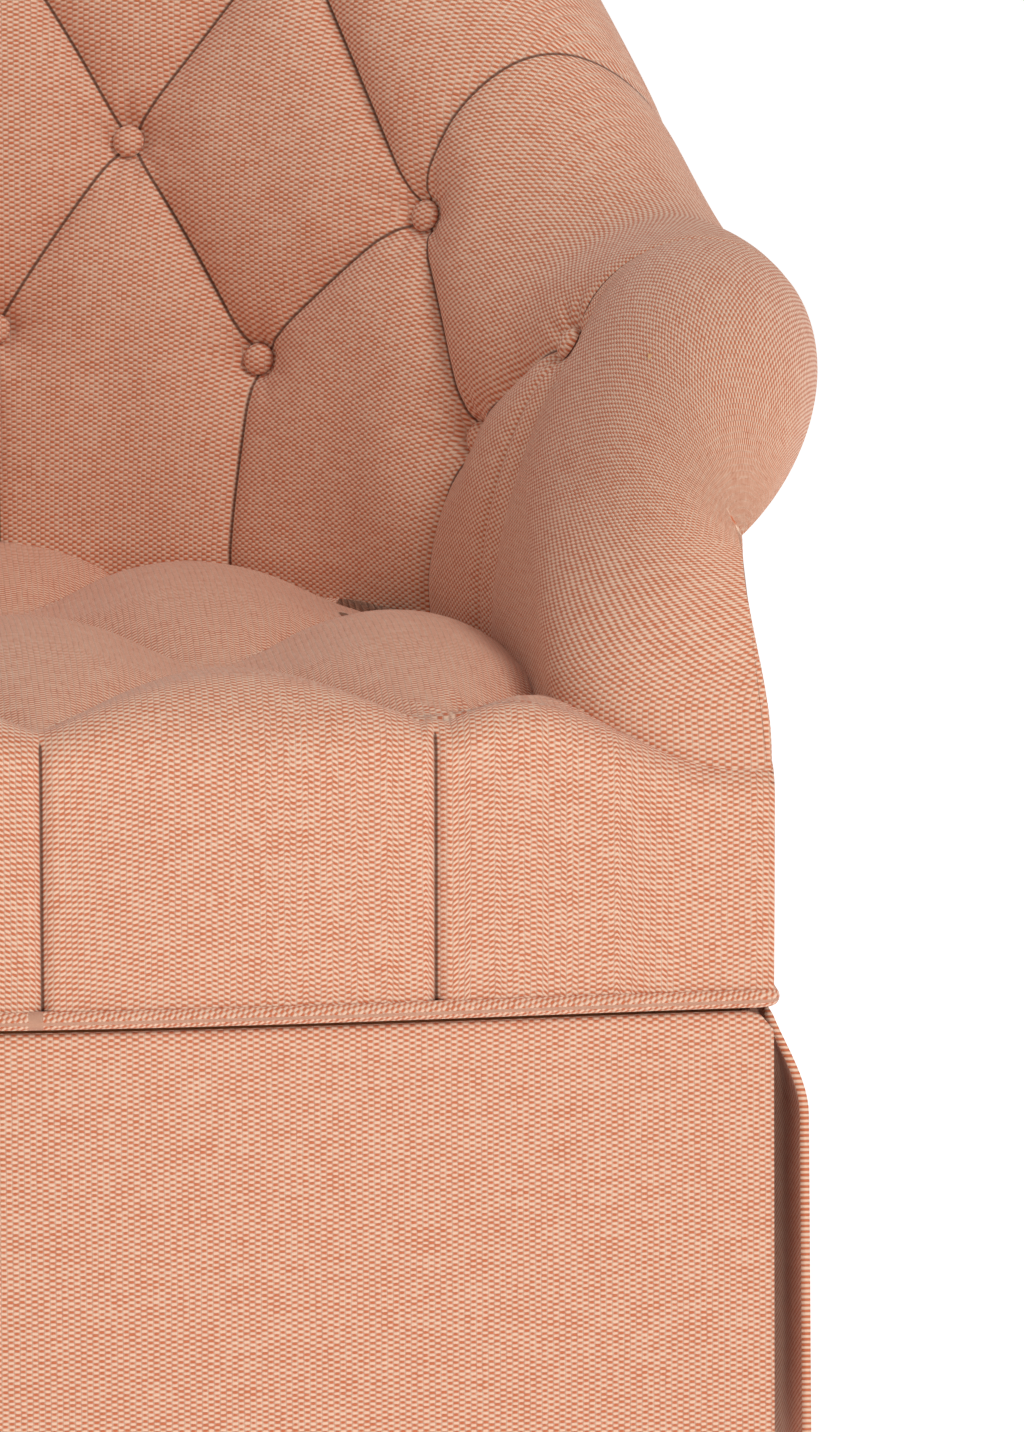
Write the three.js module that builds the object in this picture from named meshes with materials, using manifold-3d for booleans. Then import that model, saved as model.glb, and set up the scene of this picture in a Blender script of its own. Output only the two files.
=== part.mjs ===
// Button-tufted barrel glider chair with rolled arms and a full skirt, on a swivel and swing-link base.
// Millimetres, +Z up, floor at z = 0, the sitter faces -Y. The exported group's origin is on the floor,
// in the middle of the chair's width and depth. Inside, everything is laid out from the barrel centre:
// the centre of the half circle that the inside back follows at seat level.
import * as THREE from "three";
import { mergeVertices } from "three/addons/utils/BufferGeometryUtils.js";
import Module from "manifold-3d";

const wasm = await Module();
wasm.setup();

// ---- Driving dimensions ----
const BARREL_RADIUS = 262; // inside back at seat level
const ARM_LENGTH = 268; // barrel centre to the front of the arms, at their foot
const ARM_SPREAD = 22; // extra half width between the arms' feet at their front
const ARM_LEAN = 0.2; // share of the arm's length by which its top front stands back
const ARM_TOP_Z = 690;
const BACK_TOP_Z = 1000;
const SHOULDER_START = 22; // degrees round the barrel from the back's middle, where the top starts down
const SHOULDER_END = 78; // degrees, where it has come down to arm height
const ROLL_RADIUS = 58; // the scroll along the top of arms and back
const ROLL_OUT = 128; // the scroll's centre, outward of the inside foot line
const ROLL_RAKE = 0.082; // and more of it at the middle of the raked back, mm per mm of the back's height
const NECK_DROP = 140; // from the scroll's top down to where the outside panels start
const SHELL_DEPTH = 140; // inside foot line to the outside faces
const OUTSIDE_RAKE = 0.07; // backward lean of the outside back, mm per mm of height
const PAD_DEPTH = 46; // upholstery over the frame at the foot of the inside

const SEAT_TOP_Z = 474;
const PAD_BASE_Z = 414; // underside of seat pad, arm pads and back pad
const BOW = 28; // how far the middle of the front stands ahead of its corners
const FRONT_BORDER_DEPTH = 23;
const BOX_BOTTOM_Z = 262;
const BOX_RAIL_HEIGHT = 146;
const RAIL_THICKNESS = 28;
const PANEL_THICKNESS = 12;
const PANEL_BOTTOM_Z = 306;

const WELT_RADIUS = 5;
const WELT_Z = 298;
const SKIRT_TOP_Z = 291;
const HEM_Z = 12;
const SKIRT_THICKNESS = 5;
const SKIRT_FLARE = 14; // how far the front hem hangs outside the box
const SIDE_SKIRT_FLARE = 24; // and the side and back hems
const SKIRT_KNEE_Z = 240; // the side and back panels stand out down to here, and then hang
const SKIRT_PLEAT_GAP = 12; // open pleat between two neighbouring skirt panels
const REAR_PLEAT_ANGLE = 48; // degrees round the barrel to the rear kick pleats

const RING_RADIUS = 240; // floor ring, to the middle of its tube
const RING_TUBE_RADIUS = 12;
const FLOOR_GLIDE_HEIGHT = 8;
const FLOOR_GLIDE_RADIUS = 16;
const CROSS_WIDTH = 50;
const CROSS_THICKNESS = 6;
const BEARING_RADIUS = 85;
const BEARING_HEIGHT = 14;
const PLATE_THICKNESS = 4;
const SWIVEL_PLATE_SIZE = 200;
const MECHANISM_Y = 55; // swivel axis, behind the barrel centre
const LINK_LENGTH = 135;
const LINK_WIDTH = 26;
const GLIDE_DEGREES = 30; // the links' swing either way
const LINK_THICKNESS = 6;
const PIVOT_SPREAD = 150; // pivots ahead of and behind the swivel axis
const UPPER_PIVOT_Z = 232;
const PIN_RADIUS = 6;
const PIN_HEAD_RADIUS = 10;
const PIN_HEAD_LENGTH = 5;
const CARRIAGE_HALF_WIDTH = 155; // outer faces of the carriage's side plates
const HANGER_FLANGE = 42;
const CLEAT_WIDTH = 64;
const CLEAT_THICKNESS = 22;
const DUST_CLOTH_THICKNESS = 1.5;

const SPRING_OFFSETS = [-180, -60, 60, 180];
const SPRING_WAVES = 15;
const SPRING_SWING = 20;
const SPRING_WIRE_RADIUS = 2;

const FACET_DEGREES = 6; // of the barrel, in one facet

const TOUCH = 0.3; // gap between hard pieces that bear on each other
const SOFT_GAP = 1.5; // gap round the upholstery
const RUNNING = 0.3; // radial clearance of a pin in its hole

// ---- Materials ----
const colours = {
  cover: [0xd8967c, 0.95, 0],
  wood: [0xb98d5c, 0.7, 0],
  frameSteel: [0x2a2b2d, 0.45, 0.4],
  zincSteel: [0x9a9c9e, 0.35, 0.9],
  springSteel: [0x4d4f52, 0.4, 0.9],
  plastic: [0x1c1c1c, 0.6, 0],
  dustCloth: [0x202022, 0.95, 0],
};

const chair = new THREE.Group();

function addPiece(name, geometry, look) {
  const [color, roughness, metalness] = colours[look];
  const mesh = new THREE.Mesh(geometry, new THREE.MeshStandardMaterial({ color, roughness, metalness }));
  mesh.name = name;
  chair.add(mesh);
  return mesh;
}

// ---- Solids ----
function signedVolume(points, index) {
  let sum = 0;
  for (let i = 0; i < index.length; i += 3) {
    const [a, b, c] = [points[index[i]], points[index[i + 1]], points[index[i + 2]]];
    sum += a.dot(new THREE.Vector3().crossVectors(b, c));
  }
  return sum / 6;
}

// A closed solid through rings of points that all have the same count. `outline` is one ring drawn flat,
// which says how the two end faces are cut into triangles; without it the last ring joins the first.
function loft(rings, outline) {
  const count = rings[0].length;
  const points = rings.flat();
  const index = [];
  const spans = outline ? rings.length - 1 : rings.length;
  for (let r = 0; r < spans; r++) {
    const here = r * count;
    const next = ((r + 1) % rings.length) * count;
    for (let i = 0; i < count; i++) {
      const j = (i + 1) % count;
      index.push(here + i, here + j, next + j, here + i, next + j, next + i);
    }
  }
  if (outline) {
    const flat = outline.map(([u, v]) => new THREE.Vector2(u, v));
    const turned = THREE.ShapeUtils.isClockWise(flat);
    const last = (rings.length - 1) * count;
    for (const [a, b, c] of THREE.ShapeUtils.triangulateShape(flat, [])) {
      const [p, q] = turned ? [c, a] : [a, c];
      index.push(q, b, p, last + p, last + b, last + q);
    }
  }
  if (signedVolume(points, index) < 0) {
    index.reverse();
  }
  return new THREE.BufferGeometry().setFromPoints(points).setIndex(index);
}

function toManifold(geometry) {
  const bare = geometry.clone();
  bare.deleteAttribute("normal");
  bare.deleteAttribute("uv");
  const merged = mergeVertices(bare, 1e-4);
  const vertProperties = new Float32Array(merged.attributes.position.array);
  const triVerts = new Uint32Array(merged.index.array);
  return new wasm.Manifold(new wasm.Mesh({ numProp: 3, vertProperties, triVerts }));
}

function fromManifold(solid) {
  const { vertProperties, triVerts } = solid.getMesh();
  const geometry = new THREE.BufferGeometry();
  geometry.setAttribute("position", new THREE.BufferAttribute(new Float32Array(vertProperties), 3));
  return geometry.setIndex([...triVerts]);
}

function carve(geometry, ...tools) {
  let solid = toManifold(geometry);
  for (const tool of tools) {
    solid = solid.subtract(toManifold(tool));
  }
  return fromManifold(solid);
}

function block(low, high) {
  const size = high.map((value, k) => value - low[k]);
  const middle = high.map((value, k) => (value + low[k]) / 2);
  return new THREE.BoxGeometry(...size).translate(...middle);
}

function slab(outline, z0, z1) {
  const shape = new THREE.Shape(outline.map(([x, y]) => new THREE.Vector2(x, y)));
  return new THREE.ExtrudeGeometry(shape, { depth: z1 - z0, bevelEnabled: false }).translate(0, 0, z0);
}

// A flat plate standing across X: the shape is drawn in Y and Z and runs from x0 to x1.
function uprightPlate(shape, x0, x1) {
  const plate = new THREE.ExtrudeGeometry(shape, { depth: x1 - x0, bevelEnabled: false, curveSegments: 10 });
  const toYZ = new THREE.Matrix4().makeBasis(
    new THREE.Vector3(0, 1, 0),
    new THREE.Vector3(0, 0, 1),
    new THREE.Vector3(1, 0, 0),
  );
  return plate.applyMatrix4(toYZ).translate(x0, 0, 0);
}

function drillShape(shape, y, z) {
  const hole = new THREE.Path();
  hole.absarc(y, z, PIN_RADIUS + RUNNING, 0, 2 * Math.PI, true);
  shape.holes.push(hole);
}

// ---- The barrel's own coordinates ----
// along: distance round the inside foot line from the back's middle, to the sitter's left when positive;
// out: distance outward from the foot line; z: height.
const QUARTER = (BARREL_RADIUS * Math.PI) / 2;
const ARM_END = QUARTER + ARM_LENGTH;
const degreesAlong = (along) => ((Math.abs(along) / BARREL_RADIUS) * 180) / Math.PI;
const alongAt = (degrees) => (BARREL_RADIUS * degrees * Math.PI) / 180;
const smooth = (u) => {
  const c = Math.min(1, Math.max(0, u));
  return c * c * (3 - 2 * c);
};

function barrelPoint(along, out, z) {
  const side = Math.sign(along) || 1;
  const reach = Math.abs(along);
  const angle = reach / BARREL_RADIUS;
  if (reach <= QUARTER) {
    return new THREE.Vector3(side * (BARREL_RADIUS + out) * Math.sin(angle), (BARREL_RADIUS + out) * Math.cos(angle), z);
  }
  const lean = ARM_LEAN * Math.max(0, (z - PAD_BASE_Z) / (ARM_TOP_Z - PAD_BASE_Z));
  return new THREE.Vector3(side * (BARREL_RADIUS + out), -(reach - QUARTER) * (1 - lean), z);
}

const backness = (along) => Math.cos(Math.min(Math.abs(along) / BARREL_RADIUS, Math.PI / 2)) ** 2;
const footOut = (along) => ARM_SPREAD * Math.max(0, (Math.abs(along) - QUARTER) / ARM_LENGTH);
const crestZ = (along) =>
  ARM_TOP_Z +
  (BACK_TOP_Z - ARM_TOP_Z) * smooth((SHOULDER_END - degreesAlong(along)) / (SHOULDER_END - SHOULDER_START));
const BACK_ROLL_EXTRA = ROLL_RAKE * (BACK_TOP_Z - PAD_BASE_Z);
const rollOut = (along) => ROLL_OUT + BACK_ROLL_EXTRA * backness(along);
const neckZ = (along) => crestZ(along) - NECK_DROP;
const outsideOut = (along, z) => SHELL_DEPTH + OUTSIDE_RAKE * backness(along) * Math.max(0, z - PAD_BASE_Z);
const cavityTopZ = (along) => crestZ(along) - ROLL_RADIUS + 10;
const cavityTopOut = (along) => rollOut(along) - ROLL_RADIUS + 10;

// Lofts an outline given in (out, z) from one place along the barrel to another. Every loft breaks at the
// same places round the barrel, so neighbouring pieces have the same facets.
function alongBarrel(outlineAt, from, to) {
  const [low, high] = [Math.min(from, to), Math.max(from, to)];
  const pitch = alongAt(FACET_DEGREES);
  const places = [low];
  for (let k = Math.floor(low / pitch) + 1; k * pitch < high - 1; k++) {
    if (k * pitch > low + 1) {
      places.push(k * pitch);
    }
  }
  places.push(high);
  const rings = places.map((along) => outlineAt(along).map(([out, z]) => barrelPoint(along, out, z)));
  return loft(rings, outlineAt(low));
}

// ---- Upholstery round the sitter ----
function padOutline(along) {
  const foot = footOut(along);
  const crest = crestZ(along);
  const centre = rollOut(along);
  const rise = crest - SEAT_TOP_Z;
  const lean = 0.07 + 0.13 * backness(along);
  const face = new THREE.CubicBezierCurve(
    new THREE.Vector2(foot, SEAT_TOP_Z),
    new THREE.Vector2(foot + lean * rise * 0.5, SEAT_TOP_Z + 0.45 * rise),
    new THREE.Vector2(centre - 1.25 * ROLL_RADIUS, crest),
    new THREE.Vector2(centre, crest),
  );
  const outline = [[foot, PAD_BASE_Z]];
  for (const point of face.getPoints(6)) {
    outline.push([point.x, point.y]);
  }
  for (let degrees = 60; degrees >= -60; degrees -= 30) {
    const turn = (degrees * Math.PI) / 180;
    outline.push([centre + ROLL_RADIUS * Math.cos(turn), crest - ROLL_RADIUS + ROLL_RADIUS * Math.sin(turn)]);
  }
  const neck = neckZ(along);
  outline.push([outsideOut(along, neck), neck], [outsideOut(along, PAD_BASE_Z), PAD_BASE_Z]);
  return outline;
}

// The room for the frame behind the pads, open at the bottom and on the outside below the neck.
function cavityOutline(along) {
  const neck = neckZ(along);
  const outer = outsideOut(along, neck);
  const top = cavityTopZ(along);
  const below = PAD_BASE_Z - 1;
  const behindPanel = outer - PANEL_THICKNESS - 2;
  return [
    [footOut(along) + PAD_DEPTH, below],
    [footOut(along) + PAD_DEPTH, PAD_BASE_Z],
    [cavityTopOut(along), top],
    [behindPanel, top],
    [behindPanel, neck],
    [outer + 60, neck],
    [outer + 60, PAD_BASE_Z],
    [outer + 60, below],
  ];
}

// The arm pads begin at the outermost button column's pleat.
const PAD_JOINT = alongAt(87.5);
const CAVITY_END = ARM_END - 18;

function backPad() {
  const end = PAD_JOINT - SOFT_GAP / 2;
  const solid = alongBarrel(padOutline, -end, end);
  return carve(solid, alongBarrel(cavityOutline, -end - 20, end + 20));
}

function armPad(side) {
  const start = PAD_JOINT + SOFT_GAP / 2;
  const nose = (along) => {
    const shrink = 1 - 0.12 * smooth((along * side - ARM_END + 60) / 60);
    const middle = [rollOut(along), crestZ(along) - ROLL_RADIUS];
    return padOutline(along).map(([out, z]) =>
      z > neckZ(along) + 1 ? [middle[0] + (out - middle[0]) * shrink, middle[1] + (z - middle[1]) * shrink] : [out, z],
    );
  };
  const solid = alongBarrel(nose, side * start, side * ARM_END);
  return carve(solid, alongBarrel(cavityOutline, side * (start - 20), side * CAVITY_END));
}

function outsidePanel(from, to) {
  const outline = (along) => {
    const top = neckZ(along) - SOFT_GAP;
    const upper = outsideOut(along, top);
    return [
      [SHELL_DEPTH - PANEL_THICKNESS, PANEL_BOTTOM_Z],
      [SHELL_DEPTH, PANEL_BOTTOM_Z],
      [SHELL_DEPTH, PAD_BASE_Z],
      [upper, top],
      [upper - PANEL_THICKNESS, top],
      [SHELL_DEPTH - PANEL_THICKNESS, PAD_BASE_Z],
    ];
  };
  return alongBarrel(outline, from, to);
}

const HALF_WIDTH = BARREL_RADIUS + SHELL_DEPTH;
const FRONT_Y = -(ARM_LENGTH + 5); // front face at the corners
const bowAt = (x) => BOW * Math.cos((Math.PI / 2) * Math.min(1, Math.abs(x) / HALF_WIDTH)) ** 1.3;
const across = (half, steps) => Array.from({ length: steps + 1 }, (_, i) => -half + (2 * half * i) / steps);

function seatPad() {
  const outline = [];
  const frontHalf = BARREL_RADIUS + ARM_SPREAD - SOFT_GAP;
  for (const x of across(frontHalf, 12)) {
    outline.push([x, FRONT_Y - bowAt(x)]);
  }
  for (let i = 0; i <= 4; i++) {
    const along = ARM_END - (ARM_LENGTH * i) / 4;
    outline.push([BARREL_RADIUS + footOut(along) - SOFT_GAP, -(along - QUARTER)]);
  }
  for (let degrees = 80; degrees >= -80; degrees -= 10) {
    const turn = (degrees * Math.PI) / 180;
    const radius = BARREL_RADIUS - SOFT_GAP - 1;
    outline.push([radius * Math.sin(turn), radius * Math.cos(turn)]);
  }
  for (let i = 4; i >= 0; i--) {
    const along = ARM_END - (ARM_LENGTH * i) / 4;
    outline.push([-(BARREL_RADIUS + footOut(along) - SOFT_GAP), -(along - QUARTER)]);
  }
  return slab(outline, PAD_BASE_Z, SEAT_TOP_Z);
}

function frontBorder() {
  const outline = across(HALF_WIDTH, 14).map((x) => [x, FRONT_Y - bowAt(x)]);
  outline.push([HALF_WIDTH, FRONT_Y + FRONT_BORDER_DEPTH], [-HALF_WIDTH, FRONT_Y + FRONT_BORDER_DEPTH]);
  return slab(outline, PANEL_BOTTOM_Z, PAD_BASE_Z - SOFT_GAP - 1);
}

addPiece("seat_pad", seatPad(), "cover");
addPiece("front_border", frontBorder(), "cover");
addPiece("back_pad", backPad(), "cover");
const OUTSIDE_JOINT = QUARTER - 40;
addPiece("outside_back", outsidePanel(-OUTSIDE_JOINT, OUTSIDE_JOINT), "cover");
for (const [name, side] of [["left", -1], ["right", 1]]) {
  addPiece("arm_pad_" + name, armPad(side), "cover");
  const panel = outsidePanel(side * (OUTSIDE_JOINT + SOFT_GAP), side * (CAVITY_END - SOFT_GAP));
  addPiece("outside_arm_" + name, panel, "cover");
}

// ---- Welt and skirt ----
// The box's outline as stations: [x, y, outward x, outward y], from the front's middle all the way round.
function boxStations() {
  const stations = [];
  const corner = FRONT_Y;
  for (const x of across(HALF_WIDTH - 12, 12)) {
    stations.push([x, corner - bowAt(x), 0, -1]);
  }
  stations.push([HALF_WIDTH - 2, corner + 8, 0.8, -0.6]);
  for (const y of [corner + 22, corner / 2, 0]) {
    stations.push([HALF_WIDTH, y, 1, 0]);
  }
  for (let degrees = 80; degrees >= -80; degrees -= 10) {
    const turn = (degrees * Math.PI) / 180;
    stations.push([HALF_WIDTH * Math.sin(turn), HALF_WIDTH * Math.cos(turn), Math.sin(turn), Math.cos(turn)]);
  }
  for (const y of [0, corner / 2, corner + 22]) {
    stations.push([-HALF_WIDTH, y, -1, 0]);
  }
  stations.push([-(HALF_WIDTH - 2), corner + 8, -0.8, -0.6]);
  return stations;
}

function weltCord() {
  const rings = boxStations().map(([x, y, nx, ny]) => {
    const ring = [];
    for (let i = 0; i < 6; i++) {
      const turn = (i * Math.PI) / 3;
      const reach = WELT_RADIUS * Math.cos(turn) - 1;
      ring.push(new THREE.Vector3(x + nx * reach, y + ny * reach, WELT_Z + WELT_RADIUS * Math.sin(turn)));
    }
    return ring;
  });
  return loft(rings);
}

const skirtProfile = [
  [-SKIRT_THICKNESS, SKIRT_TOP_Z],
  [0, SKIRT_TOP_Z],
  [SKIRT_FLARE, HEM_Z],
  [SKIRT_FLARE - SKIRT_THICKNESS, HEM_Z],
];

const sideSkirtProfile = [
  [-SKIRT_THICKNESS, SKIRT_TOP_Z],
  [0, SKIRT_TOP_Z],
  [SIDE_SKIRT_FLARE - 3, SKIRT_KNEE_Z],
  [SIDE_SKIRT_FLARE, HEM_Z],
  [SIDE_SKIRT_FLARE - SKIRT_THICKNESS, HEM_Z],
  [SIDE_SKIRT_FLARE - 3 - SKIRT_THICKNESS, SKIRT_KNEE_Z],
];

// The front panel reaches the corners; the side panels begin behind it.
function frontSkirt() {
  const stations = across(HALF_WIDTH, 12);
  const rings = stations.map((x) =>
    skirtProfile.map(([reach, z]) => new THREE.Vector3(x, FRONT_Y - bowAt(x) - reach, z)),
  );
  return loft(rings, skirtProfile);
}

function barrelSkirt(from, to) {
  const outline = () => sideSkirtProfile.map(([reach, z]) => [SHELL_DEPTH + reach, z]);
  return alongBarrel(outline, from, to);
}

addPiece("welt_cord", weltCord(), "cover");
addPiece("skirt_front", frontSkirt(), "cover");
const rearPleat = alongAt(REAR_PLEAT_ANGLE);
addPiece("skirt_back", barrelSkirt(-rearPleat + 4, rearPleat - 4), "cover");
for (const [name, side] of [["left", -1], ["right", 1]]) {
  const front = ARM_END - SKIRT_PLEAT_GAP;
  addPiece("skirt_" + name, barrelSkirt(side * (rearPleat + 4), side * front), "cover");
}

// ---- Seat box ----
const BOX_TOP_Z = BOX_BOTTOM_Z + BOX_RAIL_HEIGHT;
const RAIL_OUT = SHELL_DEPTH - PANEL_THICKNESS - 4; // outer face of the box rails
const RAIL_IN = RAIL_OUT - RAIL_THICKNESS;
const SIDE_INNER_X = BARREL_RADIUS + RAIL_IN;
const SIDE_OUTER_X = BARREL_RADIUS + RAIL_OUT;
const FRONT_RAIL_REAR_Y = FRONT_Y + FRONT_BORDER_DEPTH + SOFT_GAP + RAIL_THICKNESS;

const railOutline = () => [
  [RAIL_IN, BOX_BOTTOM_Z],
  [RAIL_OUT, BOX_BOTTOM_Z],
  [RAIL_OUT, BOX_TOP_Z],
  [RAIL_IN, BOX_TOP_Z],
];
const frontRail = block(
  [-SIDE_OUTER_X, FRONT_RAIL_REAR_Y - RAIL_THICKNESS, BOX_BOTTOM_Z],
  [SIDE_OUTER_X, FRONT_RAIL_REAR_Y, BOX_TOP_Z],
);
addPiece("seat_rail_front", frontRail, "wood");
addPiece("seat_rail_rear", alongBarrel(railOutline, -QUARTER + TOUCH, QUARTER - TOUCH), "wood");

for (const [name, side] of [["left", -1], ["right", 1]]) {
  const [nearX, farX] = [side * SIDE_INNER_X, side * SIDE_OUTER_X].sort((a, b) => a - b);
  const sideRail = block([nearX, FRONT_RAIL_REAR_Y + TOUCH, BOX_BOTTOM_Z], [farX, -TOUCH, BOX_TOP_Z]);
  addPiece("seat_rail_" + name, sideRail, "wood");
  const inner = side * (SIDE_INNER_X - TOUCH);
  const cornerY = FRONT_RAIL_REAR_Y + TOUCH;
  const gusset = [[inner, cornerY], [inner, cornerY + 70], [inner - side * 70, cornerY]];
  addPiece("corner_block_" + name, slab(gusset, BOX_BOTTOM_Z + 30, BOX_TOP_Z - 20), "wood");
}

// ---- Sinuous springs ----
class SpringCurve extends THREE.Curve {
  constructor(x, y0, y1) {
    super();
    Object.assign(this, { x, y0, y1 });
  }
  getPoint(u, target = new THREE.Vector3()) {
    const swing = SPRING_SWING * Math.sin(2 * Math.PI * SPRING_WAVES * u) * smooth(12 * Math.min(u, 1 - u));
    const z = BOX_TOP_Z - 8 + 6 * Math.sin(Math.PI * u);
    return target.set(this.x + swing, this.y0 + (this.y1 - this.y0) * u, z);
  }
}

SPRING_OFFSETS.forEach((x, i) => {
  const start = FRONT_RAIL_REAR_Y + 2;
  const end = Math.sqrt(SIDE_INNER_X ** 2 - (Math.abs(x) + 6) ** 2) - 4;
  const wire = new THREE.Shape();
  wire.absarc(0, 0, SPRING_WIRE_RADIUS, 0, 2 * Math.PI, false);
  const path = new SpringCurve(x, start, end);
  const spring = new THREE.ExtrudeGeometry(wire, { steps: SPRING_WAVES * 5, extrudePath: path, curveSegments: 3 });
  addPiece("seat_spring_" + (i + 1), spring, "springSteel");
});

// ---- Arm and back frame ----
const FRAME_THICKNESS = 22;
const TOP_RAIL_HEIGHT = 48;
const topRailOut = (along) => cavityTopOut(along) + 2;
const topRailZ = (along) => cavityTopZ(along) - 2;

function topRail(from, to) {
  const outline = (along) => {
    const [out, z] = [topRailOut(along), topRailZ(along)];
    return [
      [out, z - TOP_RAIL_HEIGHT],
      [out + FRAME_THICKNESS, z - TOP_RAIL_HEIGHT],
      [out + FRAME_THICKNESS, z],
      [out, z],
    ];
  };
  return alongBarrel(outline, from, to);
}

// An upright between the box rails and the top rail, leaning with the shell.
function upright(middle, width) {
  const ends = [middle - width / 2, middle + width / 2];
  const lowestUnder = Math.min(...ends.map((along) => topRailZ(along))) - TOP_RAIL_HEIGHT - 1;
  const topOut = Math.min(...ends.map((along) => topRailOut(along)));
  const ring = (out, z) => [
    barrelPoint(ends[0], out, z),
    barrelPoint(ends[1], out, z),
    barrelPoint(ends[1], out + FRAME_THICKNESS, z),
    barrelPoint(ends[0], out + FRAME_THICKNESS, z),
  ];
  const square = [[0, 0], [1, 0], [1, 1], [0, 1]];
  return loft([ring(RAIL_IN + 2, BOX_TOP_Z + TOUCH), ring(topOut, lowestUnder)], square);
}

const BACK_POST_ALONG = alongAt(44);
const WOOD_END = CAVITY_END - 60; // the wood stops well short of the arm's soft front
const ARM_POST_ALONG = WOOD_END - 32;
addPiece("back_top_rail", topRail(-BACK_POST_ALONG, BACK_POST_ALONG), "wood");
const lowerRailOutline = () => [
  [RAIL_IN - 24, PAD_BASE_Z + 16],
  [RAIL_IN, PAD_BASE_Z + 16],
  [RAIL_IN, PAD_BASE_Z + 56],
  [RAIL_IN - 20, PAD_BASE_Z + 56],
];
addPiece("back_lower_rail", alongBarrel(lowerRailOutline, -BACK_POST_ALONG, BACK_POST_ALONG), "wood");
for (const [name, side] of [["left", -1], ["right", 1]]) {
  addPiece("back_post_" + name, upright(side * BACK_POST_ALONG, 44), "wood");
  addPiece("arm_post_" + name, upright(side * ARM_POST_ALONG, 60), "wood");
  const rail = topRail(side * (BACK_POST_ALONG + TOUCH), side * WOOD_END);
  addPiece("arm_top_rail_" + name, rail, "wood");
}

// ---- Floor base ----
const RING_Z = FLOOR_GLIDE_HEIGHT + TOUCH + RING_TUBE_RADIUS;
const CROSS_Z = RING_Z + RING_TUBE_RADIUS + TOUCH;
const LOWER_PLATE_Z = CROSS_Z + CROSS_THICKNESS + TOUCH;
const BEARING_Z = LOWER_PLATE_Z + PLATE_THICKNESS + TOUCH;
const UPPER_PLATE_Z = BEARING_Z + BEARING_HEIGHT + TOUCH;
const onSwivelAxis = (geometry) => geometry.translate(0, MECHANISM_Y, 0);

const ring = new THREE.TorusGeometry(RING_RADIUS, RING_TUBE_RADIUS, 8, 40).translate(0, 0, RING_Z);
addPiece("base_ring", onSwivelAxis(ring), "frameSteel");

function crossBars() {
  const [half, width] = [RING_RADIUS + RING_TUBE_RADIUS, CROSS_WIDTH / 2];
  const corners = [];
  for (let k = 0; k < 4; k++) {
    const [c, s] = [Math.round(Math.cos((k * Math.PI) / 2)), Math.round(Math.sin((k * Math.PI) / 2))];
    for (const [u, v] of [[half, -width], [half, width], [width, width]]) {
      corners.push([u * c - v * s, u * s + v * c]);
    }
  }
  return slab(corners, CROSS_Z, CROSS_Z + CROSS_THICKNESS);
}
addPiece("base_cross", onSwivelAxis(crossBars()), "frameSteel");

for (let k = 0; k < 4; k++) {
  const turn = Math.PI / 4 + (k * Math.PI) / 2;
  const glide = new THREE.CylinderGeometry(FLOOR_GLIDE_RADIUS * 0.8, FLOOR_GLIDE_RADIUS, FLOOR_GLIDE_HEIGHT, 16);
  glide.rotateX(Math.PI / 2).translate(0, 0, FLOOR_GLIDE_HEIGHT / 2);
  glide.translate(RING_RADIUS * Math.cos(turn), RING_RADIUS * Math.sin(turn), 0);
  addPiece("floor_glide_" + (k + 1), onSwivelAxis(glide), "plastic");
}

const halfPlate = SWIVEL_PLATE_SIZE / 2;
const lowerPlate = block(
  [-halfPlate, -halfPlate, LOWER_PLATE_Z],
  [halfPlate, halfPlate, LOWER_PLATE_Z + PLATE_THICKNESS],
);
addPiece("swivel_lower_plate", onSwivelAxis(lowerPlate), "zincSteel");

const bearing = new THREE.LatheGeometry(
  [
    [BEARING_RADIUS - 24, 0],
    [BEARING_RADIUS, 0],
    [BEARING_RADIUS, BEARING_HEIGHT],
    [BEARING_RADIUS - 24, BEARING_HEIGHT],
    [BEARING_RADIUS - 24, 0],
  ].map(([radius, z]) => new THREE.Vector2(radius, z)),
  32,
);
bearing.rotateX(Math.PI / 2).translate(0, 0, BEARING_Z);
addPiece("swivel_bearing", onSwivelAxis(bearing), "zincSteel");

// ---- Carriage on the swivel ----
const upperPlate = block(
  [-CARRIAGE_HALF_WIDTH, -halfPlate * 0.8, UPPER_PLATE_Z],
  [CARRIAGE_HALF_WIDTH, halfPlate * 0.8, UPPER_PLATE_Z + PLATE_THICKNESS],
);
addPiece("swivel_upper_plate", onSwivelAxis(upperPlate), "frameSteel");

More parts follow.
